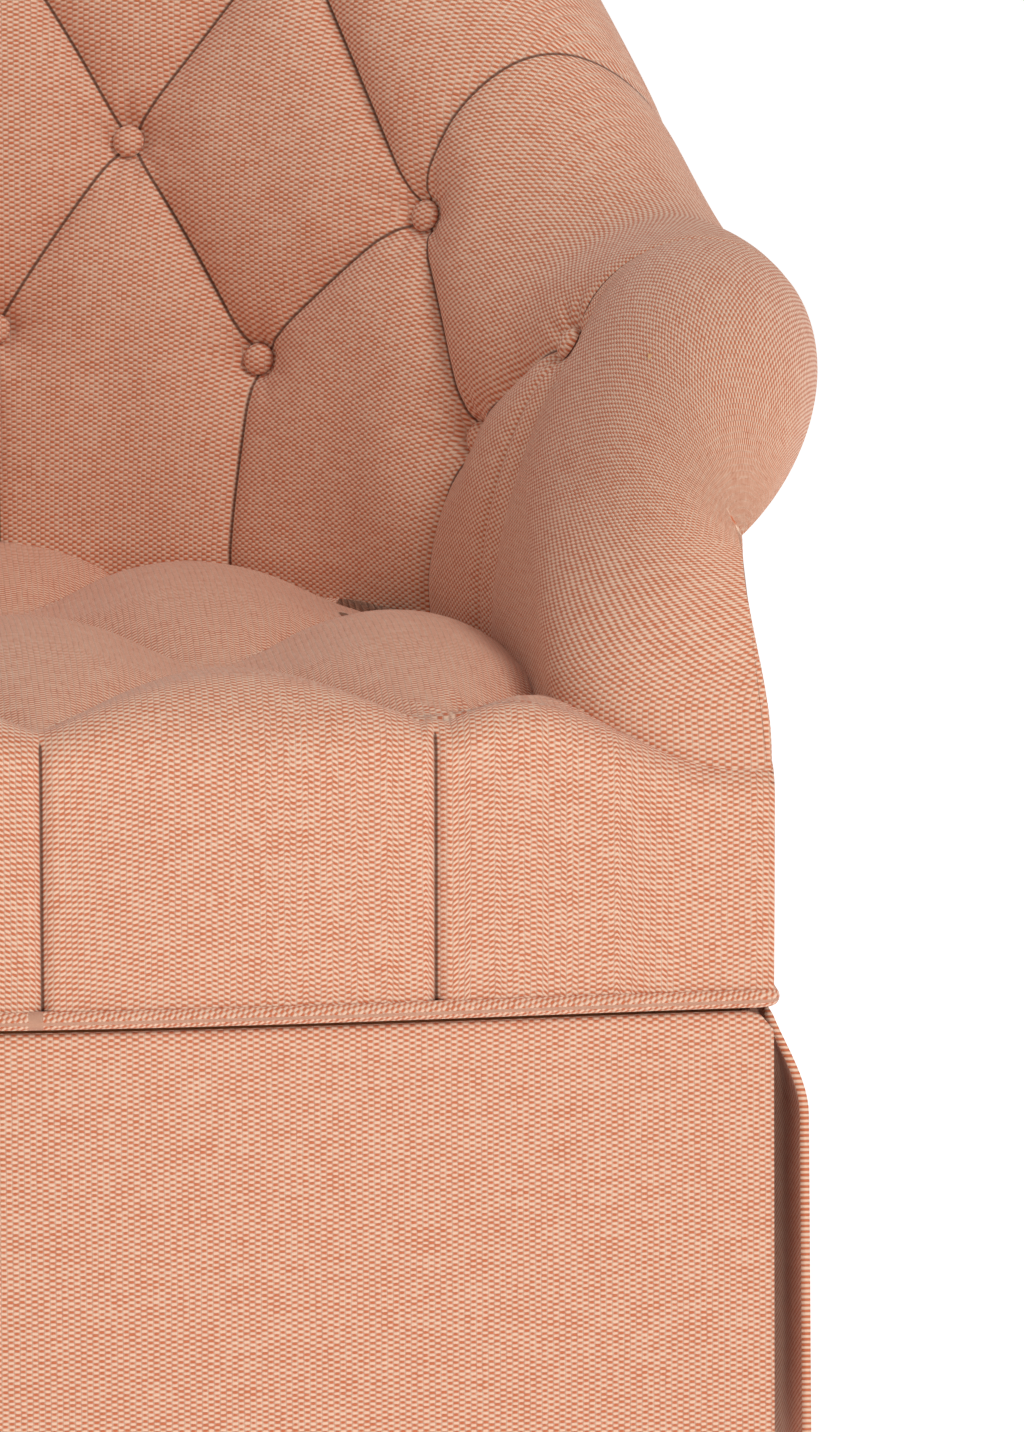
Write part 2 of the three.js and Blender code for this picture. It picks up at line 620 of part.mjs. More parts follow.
const CARRIAGE_PLATE_THICKNESS = 5;
const LOWER_PIVOT_Z = UPPER_PIVOT_Z - LINK_LENGTH;
function carriageSide(side) {
  const foot = UPPER_PLATE_Z + PLATE_THICKNESS + TOUCH;
  const top = UPPER_PIVOT_Z + LINK_WIDTH / 2;
  const wide = PIVOT_SPREAD + LINK_WIDTH / 2;
  const narrow = wide - PIN_HEAD_RADIUS - LINK_LENGTH * Math.sin((GLIDE_DEGREES * Math.PI) / 180) - LINK_WIDTH;
  const outline = [
    [-narrow, foot],
    [narrow, foot],
    [narrow, foot + 60],
    [wide, UPPER_PIVOT_Z - LINK_WIDTH],
    [wide, top],
    [-wide, top],
    [-wide, UPPER_PIVOT_Z - LINK_WIDTH],
    [-narrow, foot + 60],
  ];
  const shape = new THREE.Shape(outline.map(([y, z]) => new THREE.Vector2(y, z)));
  for (const end of [-1, 1]) {
    drillShape(shape, end * PIVOT_SPREAD, UPPER_PIVOT_Z);
  }
  const inner = CARRIAGE_HALF_WIDTH - CARRIAGE_PLATE_THICKNESS;
  const plate = uprightPlate(shape, inner, CARRIAGE_HALF_WIDTH);
  return onSwivelAxis(plate.translate(side < 0 ? -inner - CARRIAGE_HALF_WIDTH : 0, 0, 0));
}

// ---- Swing links, their pins and the seat's hangers ----
const HEAD_ROOM = PIN_HEAD_LENGTH + 2 * TOUCH + 1; // side gap in which a pin's head passes a plate
const LINK_X = CARRIAGE_HALF_WIDTH + HEAD_ROOM; // inner face of the links
const HANGER_X = LINK_X + LINK_THICKNESS + HEAD_ROOM; // inner face of the hanger webs

function linkShape() {
  const shape = new THREE.Shape();
  const half = LINK_WIDTH / 2;
  shape.absarc(0, UPPER_PIVOT_Z, half, 0, Math.PI, false);
  shape.absarc(0, LOWER_PIVOT_Z, half, Math.PI, 2 * Math.PI, false);
  drillShape(shape, 0, UPPER_PIVOT_Z);
  drillShape(shape, 0, LOWER_PIVOT_Z);
  return shape;
}

function hangerShape(flangeZ) {
  const wide = PIVOT_SPREAD + LINK_WIDTH / 2 + 4;
  const low = LOWER_PIVOT_Z - LINK_WIDTH / 2;
  const outline = [[-wide, low], [wide, low], [wide, flangeZ], [-wide, flangeZ]];
  const shape = new THREE.Shape(outline.map(([y, z]) => new THREE.Vector2(y, z)));
  for (const end of [-1, 1]) {
    drillShape(shape, end * PIVOT_SPREAD, LOWER_PIVOT_Z);
  }
  return shape;
}

// A headed pin along X: from its head's outer face at 0, through `grip`, to a flat retaining nut.
function pin(grip) {
  const profile = [
    [0, 0],
    [PIN_HEAD_RADIUS, 0],
    [PIN_HEAD_RADIUS, PIN_HEAD_LENGTH],
    [PIN_RADIUS, PIN_HEAD_LENGTH],
    [PIN_RADIUS, PIN_HEAD_LENGTH + grip],
    [PIN_HEAD_RADIUS, PIN_HEAD_LENGTH + grip],
    [PIN_HEAD_RADIUS, 2 * PIN_HEAD_LENGTH + grip],
    [0, 2 * PIN_HEAD_LENGTH + grip],
  ].map(([radius, length]) => new THREE.Vector2(radius, length));
  return new THREE.LatheGeometry(profile, 12).rotateZ(-Math.PI / 2);
}

// Places a pin so that its grip runs from x0 to x1, with TOUCH to spare at both ends.
function pinBetween(x0, x1, y, z, side) {
  const body = pin(x1 - x0 + 2 * TOUCH).translate(x0 - TOUCH - PIN_HEAD_LENGTH, y, z);
  return onSwivelAxis(side < 0 ? body.rotateY(Math.PI).translate(0, 0, 2 * z) : body);
}

const FLANGE_Z = BOX_BOTTOM_Z - TOUCH - PLATE_THICKNESS;
for (const [name, side] of [["left", -1], ["right", 1]]) {
  const mirrored = (geometry, x0, x1) => geometry.translate(side < 0 ? -x0 - x1 : 0, 0, 0);
  addPiece("carriage_side_" + name, carriageSide(side), "frameSteel");
  for (const [end, along] of [["front", -PIVOT_SPREAD], ["rear", PIVOT_SPREAD]]) {
    const link = uprightPlate(linkShape(), LINK_X, LINK_X + LINK_THICKNESS).translate(0, along, 0);
    const placed = mirrored(link, LINK_X, LINK_X + LINK_THICKNESS);
    addPiece("swing_link_" + end + "_" + name, onSwivelAxis(placed), "zincSteel");
    const inner = CARRIAGE_HALF_WIDTH - CARRIAGE_PLATE_THICKNESS;
    const upperPin = pinBetween(inner, LINK_X + LINK_THICKNESS, along, UPPER_PIVOT_Z, side);
    addPiece("upper_pin_" + end + "_" + name, upperPin, "zincSteel");
    const lowerPin = pinBetween(LINK_X, HANGER_X + PLATE_THICKNESS, along, LOWER_PIVOT_Z, side);
    addPiece("lower_pin_" + end + "_" + name, lowerPin, "zincSteel");
  }
  const web = uprightPlate(hangerShape(FLANGE_Z + PLATE_THICKNESS), HANGER_X, HANGER_X + PLATE_THICKNESS);
  const wide = PIVOT_SPREAD + LINK_WIDTH / 2 + 4;
  const flange = block(
    [HANGER_X + 1, -wide, FLANGE_Z],
    [HANGER_X + HANGER_FLANGE, wide, FLANGE_Z + PLATE_THICKNESS],
  );
  const hanger = fromManifold(toManifold(web).add(toManifold(flange)));
  if (side < 0) {
    hanger.rotateZ(Math.PI);
  }
  addPiece("glide_hanger_" + name, onSwivelAxis(hanger), "frameSteel");
}

for (const [name, along] of [["front", -PIVOT_SPREAD + 40], ["rear", PIVOT_SPREAD - 40]]) {
  const reach = SIDE_INNER_X * Math.cos(((FACET_DEGREES / 2) * Math.PI) / 180) - TOUCH;
  const cleat = block(
    [-reach, along - CLEAT_WIDTH / 2, BOX_BOTTOM_Z],
    [reach, along + CLEAT_WIDTH / 2, BOX_BOTTOM_Z + CLEAT_THICKNESS],
  );
  const trimmed = Math.sqrt(reach ** 2 - (MECHANISM_Y + along + CLEAT_WIDTH / 2) ** 2);
  cleat.scale(trimmed / reach, 1, 1);
  addPiece("mount_cleat_" + name, onSwivelAxis(cleat), "wood");
}

// Dust cloth inside the seat box, lying on the cleats.
function dustCover() {
  const outline = [];
  const radius = SIDE_INNER_X * Math.cos(((FACET_DEGREES / 2) * Math.PI) / 180) - SOFT_GAP;
  for (let degrees = -90; degrees <= 90; degrees += 15) {
    const turn = (degrees * Math.PI) / 180;
    outline.push([radius * Math.sin(turn), radius * Math.cos(turn)]);
  }
  outline.push([radius, FRONT_RAIL_REAR_Y + SOFT_GAP], [-radius, FRONT_RAIL_REAR_Y + SOFT_GAP]);
  const bottom = BOX_BOTTOM_Z + CLEAT_THICKNESS + TOUCH;
  return slab(outline, bottom, bottom + DUST_CLOTH_THICKNESS);
}
addPiece("dust_cover", dustCover(), "dustCloth");

// ---- Origin at the middle of the whole depth ----
const FRONT_REACH = FRONT_Y - BOW - SKIRT_FLARE;
const REAR_REACH = BARREL_RADIUS + ROLL_OUT + BACK_ROLL_EXTRA + ROLL_RADIUS;
chair.position.y = -(FRONT_REACH + REAR_REACH) / 2;

export default chair;
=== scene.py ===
# %% [markdown]
# # A swivel glider chair with a button-tufted barrel back
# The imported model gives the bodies, the joints and every hidden piece. This script adds what the hand
# and the eye meet: the fabric covers, buttons, welt and skirt, and a finish for each hidden piece.
# Shapes are surfaces of two numbers worked out as whole numpy arrays, in millimetres, and are turned
# to metres when they go into a mesh.

# %% Load the frame
import math

import bmesh
import bpy
import numpy as np
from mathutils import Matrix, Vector
from mathutils.geometry import tessellate_polygon


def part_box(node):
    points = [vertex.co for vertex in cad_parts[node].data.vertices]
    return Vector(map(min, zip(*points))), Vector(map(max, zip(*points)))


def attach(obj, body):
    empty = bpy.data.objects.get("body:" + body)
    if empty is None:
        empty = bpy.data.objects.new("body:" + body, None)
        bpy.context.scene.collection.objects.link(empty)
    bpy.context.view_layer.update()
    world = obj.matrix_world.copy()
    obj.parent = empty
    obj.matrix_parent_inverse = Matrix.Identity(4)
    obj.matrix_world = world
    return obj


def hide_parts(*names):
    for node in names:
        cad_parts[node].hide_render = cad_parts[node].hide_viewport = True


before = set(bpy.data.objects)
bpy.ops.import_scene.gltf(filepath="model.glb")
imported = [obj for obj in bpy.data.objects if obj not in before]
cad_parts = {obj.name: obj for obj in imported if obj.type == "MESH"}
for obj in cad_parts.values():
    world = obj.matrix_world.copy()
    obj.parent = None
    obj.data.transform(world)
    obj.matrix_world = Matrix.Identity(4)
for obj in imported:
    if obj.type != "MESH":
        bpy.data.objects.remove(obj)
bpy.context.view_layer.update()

MM = 0.001

# %% [markdown]
# ## The camera
# A long lens from five metres keeps the chair's lines nearly parallel. It stands a little to the
# chair's right and above the arms, and looks down by about nine degrees.

# %% Camera
CAMERA_PLACE = (-0.208, -5.3735, 1.290)
CAMERA_YAW = math.radians(5.31)
CAMERA_PITCH = math.radians(9.40)
LENS_MM = 235.6

lens = bpy.data.cameras.new("camera")
lens.lens = LENS_MM
lens.sensor_width = 36.0
lens.clip_end = 100.0
camera = bpy.data.objects.new("camera", lens)
camera.location = CAMERA_PLACE
camera.rotation_euler = (math.pi / 2 - CAMERA_PITCH, 0.0, -CAMERA_YAW)
bpy.context.scene.collection.objects.link(camera)
bpy.context.scene.camera = camera

# %% [markdown]
# ## Sizes
# The frame's own pieces say where the barrel's centre is, how high its top and arms stand and how far
# the front bows. What they can't say, such as the roll's radius, is a named value here.

# %% Sizes read from the frame
def low_mm(node):
    """The lowest corner of a node's box in millimetres."""
    return np.array(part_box(node)[0]) / MM


def high_mm(node):
    """The highest corner of a node's box in millimetres."""
    return np.array(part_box(node)[1]) / MM


BARREL_Y = high_mm("seat_rail_left")[1] + 0.3
HALF_WIDTH = high_mm("front_border")[0]
BACK_TOP = high_mm("back_pad")[2]
ARM_TOP = high_mm("arm_pad_right")[2]
SEAT_TOP = high_mm("seat_pad")[2]
PAD_BASE = low_mm("seat_pad")[2]
PANEL_BOTTOM = low_mm("front_border")[2]
BORDER_DEPTH = 23.0
CORNER_Y = high_mm("front_border")[1] - BARREL_Y - BORDER_DEPTH
BOW = CORNER_Y - (low_mm("front_border")[1] - BARREL_Y)
WELT_Z = (low_mm("welt_cord")[2] + high_mm("welt_cord")[2]) / 2
SKIRT_TOP = high_mm("skirt_front")[2]
HEM = low_mm("skirt_front")[2]

SHELL = 140.0
BARREL_RADIUS = HALF_WIDTH - SHELL
ARM_LENGTH = -CORNER_Y - 5
ARM_SPREAD = 22.0
ARM_LEAN = 0.2
ROLL_RADIUS = 58.0
ROLL_OUT = high_mm("arm_pad_right")[0] - BARREL_RADIUS - ROLL_RADIUS
BACK_ROLL_EXTRA = 0.082 * (BACK_TOP - PAD_BASE)
NECK_DROP = 140.0
OUTSIDE_RAKE = 0.07
PAD_DEPTH = 46.0
PANEL_THICKNESS = 12.0
QUARTER = BARREL_RADIUS * math.pi / 2
ARM_END = QUARTER + ARM_LENGTH
print("barrel centre y", round(BARREL_Y, 1), "radius", round(BARREL_RADIUS, 1), "bow", round(BOW, 1))

# %% [markdown]
# ## The barrel's own coordinates
# A barrel back is easiest to lay out unrolled: a distance along its foot line, a distance outward from
# that line, and a height. The half circle turns into a straight arm past a quarter turn, and the arms
# lean back as they rise.

# %% Barrel coordinates
def smooth(u):
    """3u^2 - 2u^3, with u held between 0 and 1."""
    held = np.clip(u, 0.0, 1.0)
    return held * held * (3 - 2 * held)


def backness(along):
    """1 at the middle of the back, 0 on the arms: the squared cosine of the angle round the barrel."""
    return np.cos(np.minimum(np.abs(along) / BARREL_RADIUS, math.pi / 2)) ** 2


def barrel_points(along, out, z):
    """Points from (along, out, z): round the circle up to a quarter turn, then straight forward,
    where a point stands back by ARM_LEAN of its reach times its share of the arm's height."""
    side = np.where(along < 0, -1.0, 1.0)
    reach = np.abs(along)
    angle = np.minimum(reach / BARREL_RADIUS, math.pi / 2)
    ahead = np.maximum(reach - QUARTER, 0.0)
    lean = ARM_LEAN * np.maximum(0.0, (z - PAD_BASE) / (ARM_TOP - PAD_BASE))
    x = side * (BARREL_RADIUS + out) * np.sin(angle)
    y = (BARREL_RADIUS + out) * np.cos(angle) - ahead * (1 - lean)
    return np.stack(np.broadcast_arrays(x, y + BARREL_Y, z), -1)


def crest_height(along):
    """Arm height, rising by a smooth step between 78 and 22 degrees from the back's middle."""
    degrees = np.degrees(np.abs(along) / BARREL_RADIUS)
    return ARM_TOP + (BACK_TOP - ARM_TOP) * smooth((78 - degrees) / 56)


def foot_reach(along):
    """The arms' feet spread evenly from 0 to ARM_SPREAD at their front."""
    return ARM_SPREAD * np.maximum(0.0, (np.abs(along) - QUARTER) / ARM_LENGTH)


def roll_reach(along):
    """How far out the middle of the roll lies: more at the raked back."""
    return ROLL_OUT + BACK_ROLL_EXTRA * backness(along)


NECK_TAPER = 14.0


def shell_reach(along, z):
    """The outside face: straight, raked at the back, and drawn in by NECK_TAPER under the arm rolls."""
    raked = OUTSIDE_RAKE * backness(along) * np.maximum(0.0, z - PAD_BASE)
    return SHELL + raked - NECK_TAPER * (1 - backness(along)) * smooth((z - PAD_BASE - 20) / 110)


# %% [markdown]
# ## The profile of back and arms
# Cut anywhere across the barrel, the padding has one outline: an upright foot beside the seat, a face
# that leans and curls outward, a round roll, and a neck under it. The face is a cubic Bezier curve, so
# it meets the roll without a kink.

# %% Profile round the padding
def shell_profile(along):
    """Rows of (out, z) up the foot, the Bezier face, 150 degrees of roll, and in to the neck."""
    column = np.asarray(along, float)[:, None]
    foot, crest, roll = foot_reach(column), crest_height(column), roll_reach(column)
    rise = crest - SEAT_TOP
    lean = 0.07 + 0.13 * backness(column)
    t = np.linspace(0, 1, 9)[None, :-1]
    foot_part = (foot + 0 * t, PAD_BASE + (SEAT_TOP - PAD_BASE) * t + 0 * foot)
    t = np.linspace(0, 1, 90)[None]
    weights = ((1 - t) ** 3, 3 * t * (1 - t) ** 2, 3 * t * t * (1 - t), t**3)
    outs = (foot, foot + lean * rise * 0.5, roll - 1.25 * ROLL_RADIUS, roll)
    heights = (SEAT_TOP + 0 * foot, SEAT_TOP + 0.45 * rise, crest, crest)
    face_part = [sum(w * value for w, value in zip(weights, values)) for values in (outs, heights)]
    turn = np.radians(np.linspace(90, -60, 60))[None, 1:]
    roll_part = (roll + ROLL_RADIUS * np.cos(turn), crest - ROLL_RADIUS + ROLL_RADIUS * np.sin(turn))
    t = np.linspace(0, 1, 10)[None, 1:]
    neck = crest - NECK_DROP
    last = (roll_part[0][:, -1:], roll_part[1][:, -1:])
    neck_part = (last[0] + (shell_reach(column, neck) - last[0]) * t, last[1] + (neck - last[1]) * t)
    return [np.concatenate(values, 1) for values in zip(foot_part, face_part, roll_part, neck_part)]


def read_off(x, table_x, table_y):
    """Row by row, table_y where table_x reaches x, on straight lines between the table's values."""
    place = (table_x[:, None, :] <= x[:, :, None]).sum(-1) - 1
    place = np.clip(place, 0, table_x.shape[1] - 2)
    x0, x1 = (np.take_along_axis(table_x, place + i, 1) for i in (0, 1))
    y0, y1 = (np.take_along_axis(table_y, place + i, 1) for i in (0, 1))
    share = np.clip((x - x0) / np.maximum(x1 - x0, 1e-9), 0, 1)
    return y0 + (y1 - y0) * share


def lengths_up(out, z):
    """Distance run along each profile row, from 0 at its first point."""
    steps = np.hypot(np.diff(out, axis=1), np.diff(z, axis=1))
    return np.concatenate([np.zeros((len(out), 1)), np.cumsum(steps, 1)], 1)


def profile_at(along, run):
    """(out, z) and the outward normal (n_out, n_z) at the distances run up each column's profile.
    The normal is the profile's direction turned a quarter towards the sitter."""
    out, z = shell_profile(along)
    table = lengths_up(out, z)
    d_out, d_z = np.gradient(out, axis=1), np.gradient(z, axis=1)
    size = np.hypot(d_out, d_z)
    return [read_off(run, table, values) for values in (out, z, -d_z / size, d_out / size)]


def profile_grid(along, run):
    """profile_at for a grid whose columns bend: both arguments are (column, row)."""
    rows = [profile_at(along[:, j], run[:, j : j + 1]) for j in range(run.shape[1])]
    return [np.concatenate(values, 1) for values in zip(*rows)]


def run_at_height(along, height):
    """How far up the profile the face first reaches a height."""
    out, z = shell_profile(along)
    face = slice(0, 98)
    return read_off(np.asarray(height, float)[:, None], z[:, face], lengths_up(out, z)[:, face])[:, 0]


def crest_run(along):
    """How far up the profile its highest line lies, as a column."""
    return run_at_height(along, crest_height(along))[:, None]


def whole_run(along):
    """The profile's whole length from the seat to the neck."""
    return lengths_up(*shell_profile(along))[:, -1]


# %% [markdown]
# ## Pleats and buttons
# Deep buttoning makes a soft valley along every pleat, sharpest at its fold, and a dimple round each
# button. The fall from a pleat is a mix of a wide power curve and a narrow one. Pleats that meet are
# joined by multiplying what each leaves standing, so that no valley is dug twice.

# %% Pleat and dimple shapes
PLEAT_DEPTH = 21.0
FOLD_SHARE = 0.30
BUTTON_DIP = 15.0
DIP_RADIUS = 34.0


def nearest_on_line(px, py, scale, line):
    """Distance from every point to a polyline, and the share of its length where the nearest spot
    is. Sideways distances are multiplied by scale, the barrel's local radius."""
    best = np.full(px.shape, 1e9)
    share = np.zeros(px.shape)
    count = len(line) - 1
    for i in range(count):
        (ax, ay), (bx, by) = line[i], line[i + 1]
        ux, uy = (bx - ax) * scale, by - ay
        vx, vy = (px - ax) * scale, py - ay
        t = np.clip((vx * ux + vy * uy) / (ux * ux + uy * uy + 1e-9), 0, 1)
        gap = np.hypot(vx - t * ux, vy - t * uy)
        nearer = gap < best
        best = np.where(nearer, gap, best)
        share = np.where(nearer, (i + t) / count, share)
    return best, share


def pleated(px, py, scale, pleats):
    """How deep the pleats lie at every point, and the distance to the nearest fold. A pleat is
    (line, depth at its start, depth at its end, width at its start, width at its end, rate), and
    reaches its end's depth and width at 1 / rate of its length."""
    standing = np.ones(px.shape)
    fold = np.full(px.shape, 99.0)
    for line, depth0, depth1, width0, width1, rate in pleats:
        gap, share = nearest_on_line(px, py, scale, line)
        ease = smooth(share * rate)
        depth = depth0 + (depth1 - depth0) * ease
        width = width0 + (width1 - width0) * ease
        x = np.clip(1 - gap / width, 0, 1)
        valley = (1 - FOLD_SHARE) * x**2.2 + FOLD_SHARE * x**10
        standing *= 1 - depth / PLEAT_DEPTH * valley
        # The distance to the nearest pleat line feeds the painted shade along the folds.
        fold = np.minimum(fold, gap)
    return PLEAT_DEPTH * (1 - standing), fold


def dimpled(px, py, scale, buttons, shares):
    """A round dip at each button, with small creases that run outward from it and die away, and
    the distance to the nearest button with its share of the full depth."""
    dip = np.zeros(px.shape)
    nearest = np.full(px.shape, 999.0)
    nearest_share = np.ones(px.shape)
    for (bx, by), share in zip(buttons, shares):
        dx, dy = (px - bx) * scale, py - by
        gap = np.hypot(dx, dy)
        nearest_share = np.where(gap < nearest, share, nearest_share)
        nearest = np.minimum(nearest, gap)
        dip = np.maximum(dip, share * BUTTON_DIP * np.clip(1 - gap / DIP_RADIUS, 0, 1) ** 1.7)
        rays = np.cos(11 * np.arctan2(dy, dx) + bx * 7) * np.clip(1 - np.abs(gap - 22) / 20, 0, 1)
        dip += 0.9 * rays
    return dip, nearest, nearest_share


# %% [markdown]
# ## Closed sweeps
# Every cover is a closed skin: its outline at one station is a ring of points, the rings are joined to
# their neighbours, and the two ends are filled. The weave follows a UV map in real metres, and the
# distance to the nearest line of painted shade, at a pleat, seam, rim or hem, is kept on each point.

# %% Mesh from rings of points
def cap_faces(ring, start, turned):
    """Triangles that fill a ring, cut on the two axes in which the ring is widest."""
    spread = np.ptp(ring, 0)
    flat = ring.copy()
    flat[:, int(np.argmin(spread))] = 0.0
    found = tessellate_polygon([[Vector(p) for p in flat]])
    order = (2, 1, 0) if turned else (0, 1, 2)
    return [[start + tri[i] for i in order] for tri in found]


def add_piece(name, points, faces, uv, fold):
    """An object with its place in its mesh: points in mm, uv in mm, fold in mm, the distance to the
    nearest line of painted shade. Doubled points are merged, so poles and seams are closed, and the
    normals are made to point outward."""
    mesh = bpy.data.meshes.new(name)
    mesh.from_pydata((points * MM).tolist(), [], faces)
    layer = mesh.uv_layers.new(name="weave")
    corners = np.zeros(len(mesh.loops), np.int32)
    mesh.loops.foreach_get("vertex_index", corners)
    layer.data.foreach_set("uv", (uv[corners] * MM).astype(np.float32).ravel())
    attribute = mesh.attributes.new("fold", "FLOAT", "POINT")
    attribute.data.foreach_set("value", fold.astype(np.float32))
    obj = bpy.data.objects.new(name, mesh)
    bpy.context.scene.collection.objects.link(obj)
    close_and_turn(obj)
    return obj


def close_and_turn(obj):
    """Merges doubled points, drops what has no area and turns every face outward."""
    work = bmesh.new()
    work.from_mesh(obj.data)
    bmesh.ops.remove_doubles(work, verts=work.verts, dist=0.00002)
    bmesh.ops.dissolve_degenerate(work, edges=work.edges, dist=0.00001)
    bmesh.ops.recalc_face_normals(work, faces=work.faces)
    if work.calc_volume(signed=True) < 0:
        bmesh.ops.reverse_faces(work, faces=work.faces)
    work.to_mesh(obj.data)
    work.free()
    obj.data.polygons.foreach_set("use_smooth", [True] * len(obj.data.polygons))


def sweep_faces(stations, around, diagonal=None):
    """Faces between closed rings. diagonal says, cell by cell, which way a quad is cut in two."""
    i, j = np.meshgrid(np.arange(stations - 1), np.arange(around), indexing="ij")
    a = i * around + j
    b = i * around + (j + 1) % around
    c, d = b + around, a + around
    if diagonal is None:
        return np.stack([a, b, c, d], -1).reshape(-1, 4).tolist()
    rising = np.broadcast_to(diagonal, a.shape)[..., None]
    first = np.where(rising, np.stack([a, b, c], -1), np.stack([a, b, d], -1))
    second = np.where(rising, np.stack([a, c, d], -1), np.stack([b, c, d], -1))
    return np.concatenate([first.reshape(-1, 3), second.reshape(-1, 3)]).tolist()


def loop_faces(stations, around, joined):
    """Quads between points[station, spot], where the stations close on themselves. joined says
    whether each station's spots do too."""
    i, j = np.meshgrid(np.arange(stations), np.arange(around if joined else around - 1), indexing="ij")
    far, up = (i + 1) % stations, (j + 1) % around
    corners = (i * around + j, i * around + up, far * around + up, far * around + j)
    return np.stack(corners, -1).reshape(-1, 4).tolist()


def closed_sweep(name, rings, uv, fold, diagonal=None):
    """A closed piece from rings[station, point] with its two ends filled."""
    stations, around = rings.shape[:2]
    faces = sweep_faces(stations, around, diagonal)
    faces += cap_faces(rings[0], 0, False)
    faces += cap_faces(rings[-1], (stations - 1) * around, True)
    return add_piece(name, rings.reshape(-1, 3), faces, uv.reshape(-1, 2), fold.ravel())


# %% [markdown]
# ## Finishes
# The cover is an upholstery weave of two yarns, a coral weft over a cream warp. Float by float it is a
# checker of small cushions, so two sine waves multiplied give both the colour and the height. Slubs
# in the yarn are noise drawn out along the threads. The weave reads the UV map in metres, so it turns
# with the cloth as a printed cloth would.

# %% Node helpers
def linear(hex_colour):
    """An sRGB hex colour as the linear values that shaders take."""
    parts = [int(hex_colour[i : i + 2], 16) / 255 for i in (1, 3, 5)]
    return [p / 12.92 if p <= 0.04045 else ((p + 0.055) / 1.055) ** 2.4 for p in parts] + [1.0]


def add_node(tree, kind, links=None, **settings):
    """Adds a node, sets its properties or the sockets of that name, and links what is given."""
    node = tree.nodes.new(kind)
    for key, value in settings.items():
        setattr(node, key, value)
    for socket, value in (links or {}).items():
        target = node.inputs[socket]
        if isinstance(value, bpy.types.NodeSocket):
            tree.links.new(value, target)
        else:
            target.default_value = value
    return node


def maths(tree, operation, *values):
    """The output of a Math node for the numbers or sockets given."""
    return add_node(tree, "ShaderNodeMath", dict(enumerate(values)), operation=operation).outputs[0]


def stretched(tree, place, factors):
    """A place multiplied by three factors."""
    return add_node(tree, "ShaderNodeVectorMath", {0: place, 1: factors}, operation="MULTIPLY").outputs[0]


def noise(tree, place, scale, detail, output="Fac"):
    """Noise at a place; its period is about 1 / scale."""
    links = {"Vector": place, "Scale": scale, "Detail": detail}
    return add_node(tree, "ShaderNodeTexNoise", links).outputs[output]


def ranged(tree, value, old, new, kind="LINEAR"):
    """A value carried from the old pair of limits to the new pair."""
    links = {0: value, 1: old[0], 2: old[1], 3: new[0], 4: new[1]}
    return add_node(tree, "ShaderNodeMapRange", links, interpolation_type=kind).outputs[0]


def mixed(tree, share, first, second):
    """A colour between two, at a share of the way."""
    return add_node(tree, "ShaderNodeMix", {0: share, 6: first, 7: second}, data_type="RGBA").outputs[2]


def set_bump(tree, shader, height, strength, depth_mm):
    """Feeds a height to the shader's normal."""
    links = {"Height": height, "Strength": strength, "Distance": depth_mm * MM}
    tree.links.new(add_node(tree, "ShaderNodeBump", links).outputs[0], shader.inputs["Normal"])


def start_material(name, base, roughness, metallic=0.0, sheen=0.0):
    """A material with its shader's constants set; returns it, its tree and its shader."""
    material = bpy.data.materials.new(name)
    material.use_nodes = True
    tree = material.node_tree
    shader = tree.nodes["Principled BSDF"]
    shader.inputs["Base Color"].default_value = linear(base)
    shader.inputs["Roughness"].default_value = roughness
    shader.inputs["Metallic"].default_value = metallic
    shader.inputs["Sheen Weight"].default_value = sheen
    return material, tree, shader


# %% Woven cover
FLOAT_PERIOD_MM = 6.6
ROW_PERIOD_MM = 3.2
WANDER = 0.0011
SLUBS = ((40.0, 420.0, 1.0), (520.0, 60.0, 1.0))
STREAK = 0.3
CREAM = "#F0C9AE"
CORAL = "#CC6F49"
# Painted shade: the dark brown mixed into the cloth along pleat lines, seams, the welt's tucked side, button
# rims and the hem line.
FOLD_SHADE = "#5A3324"


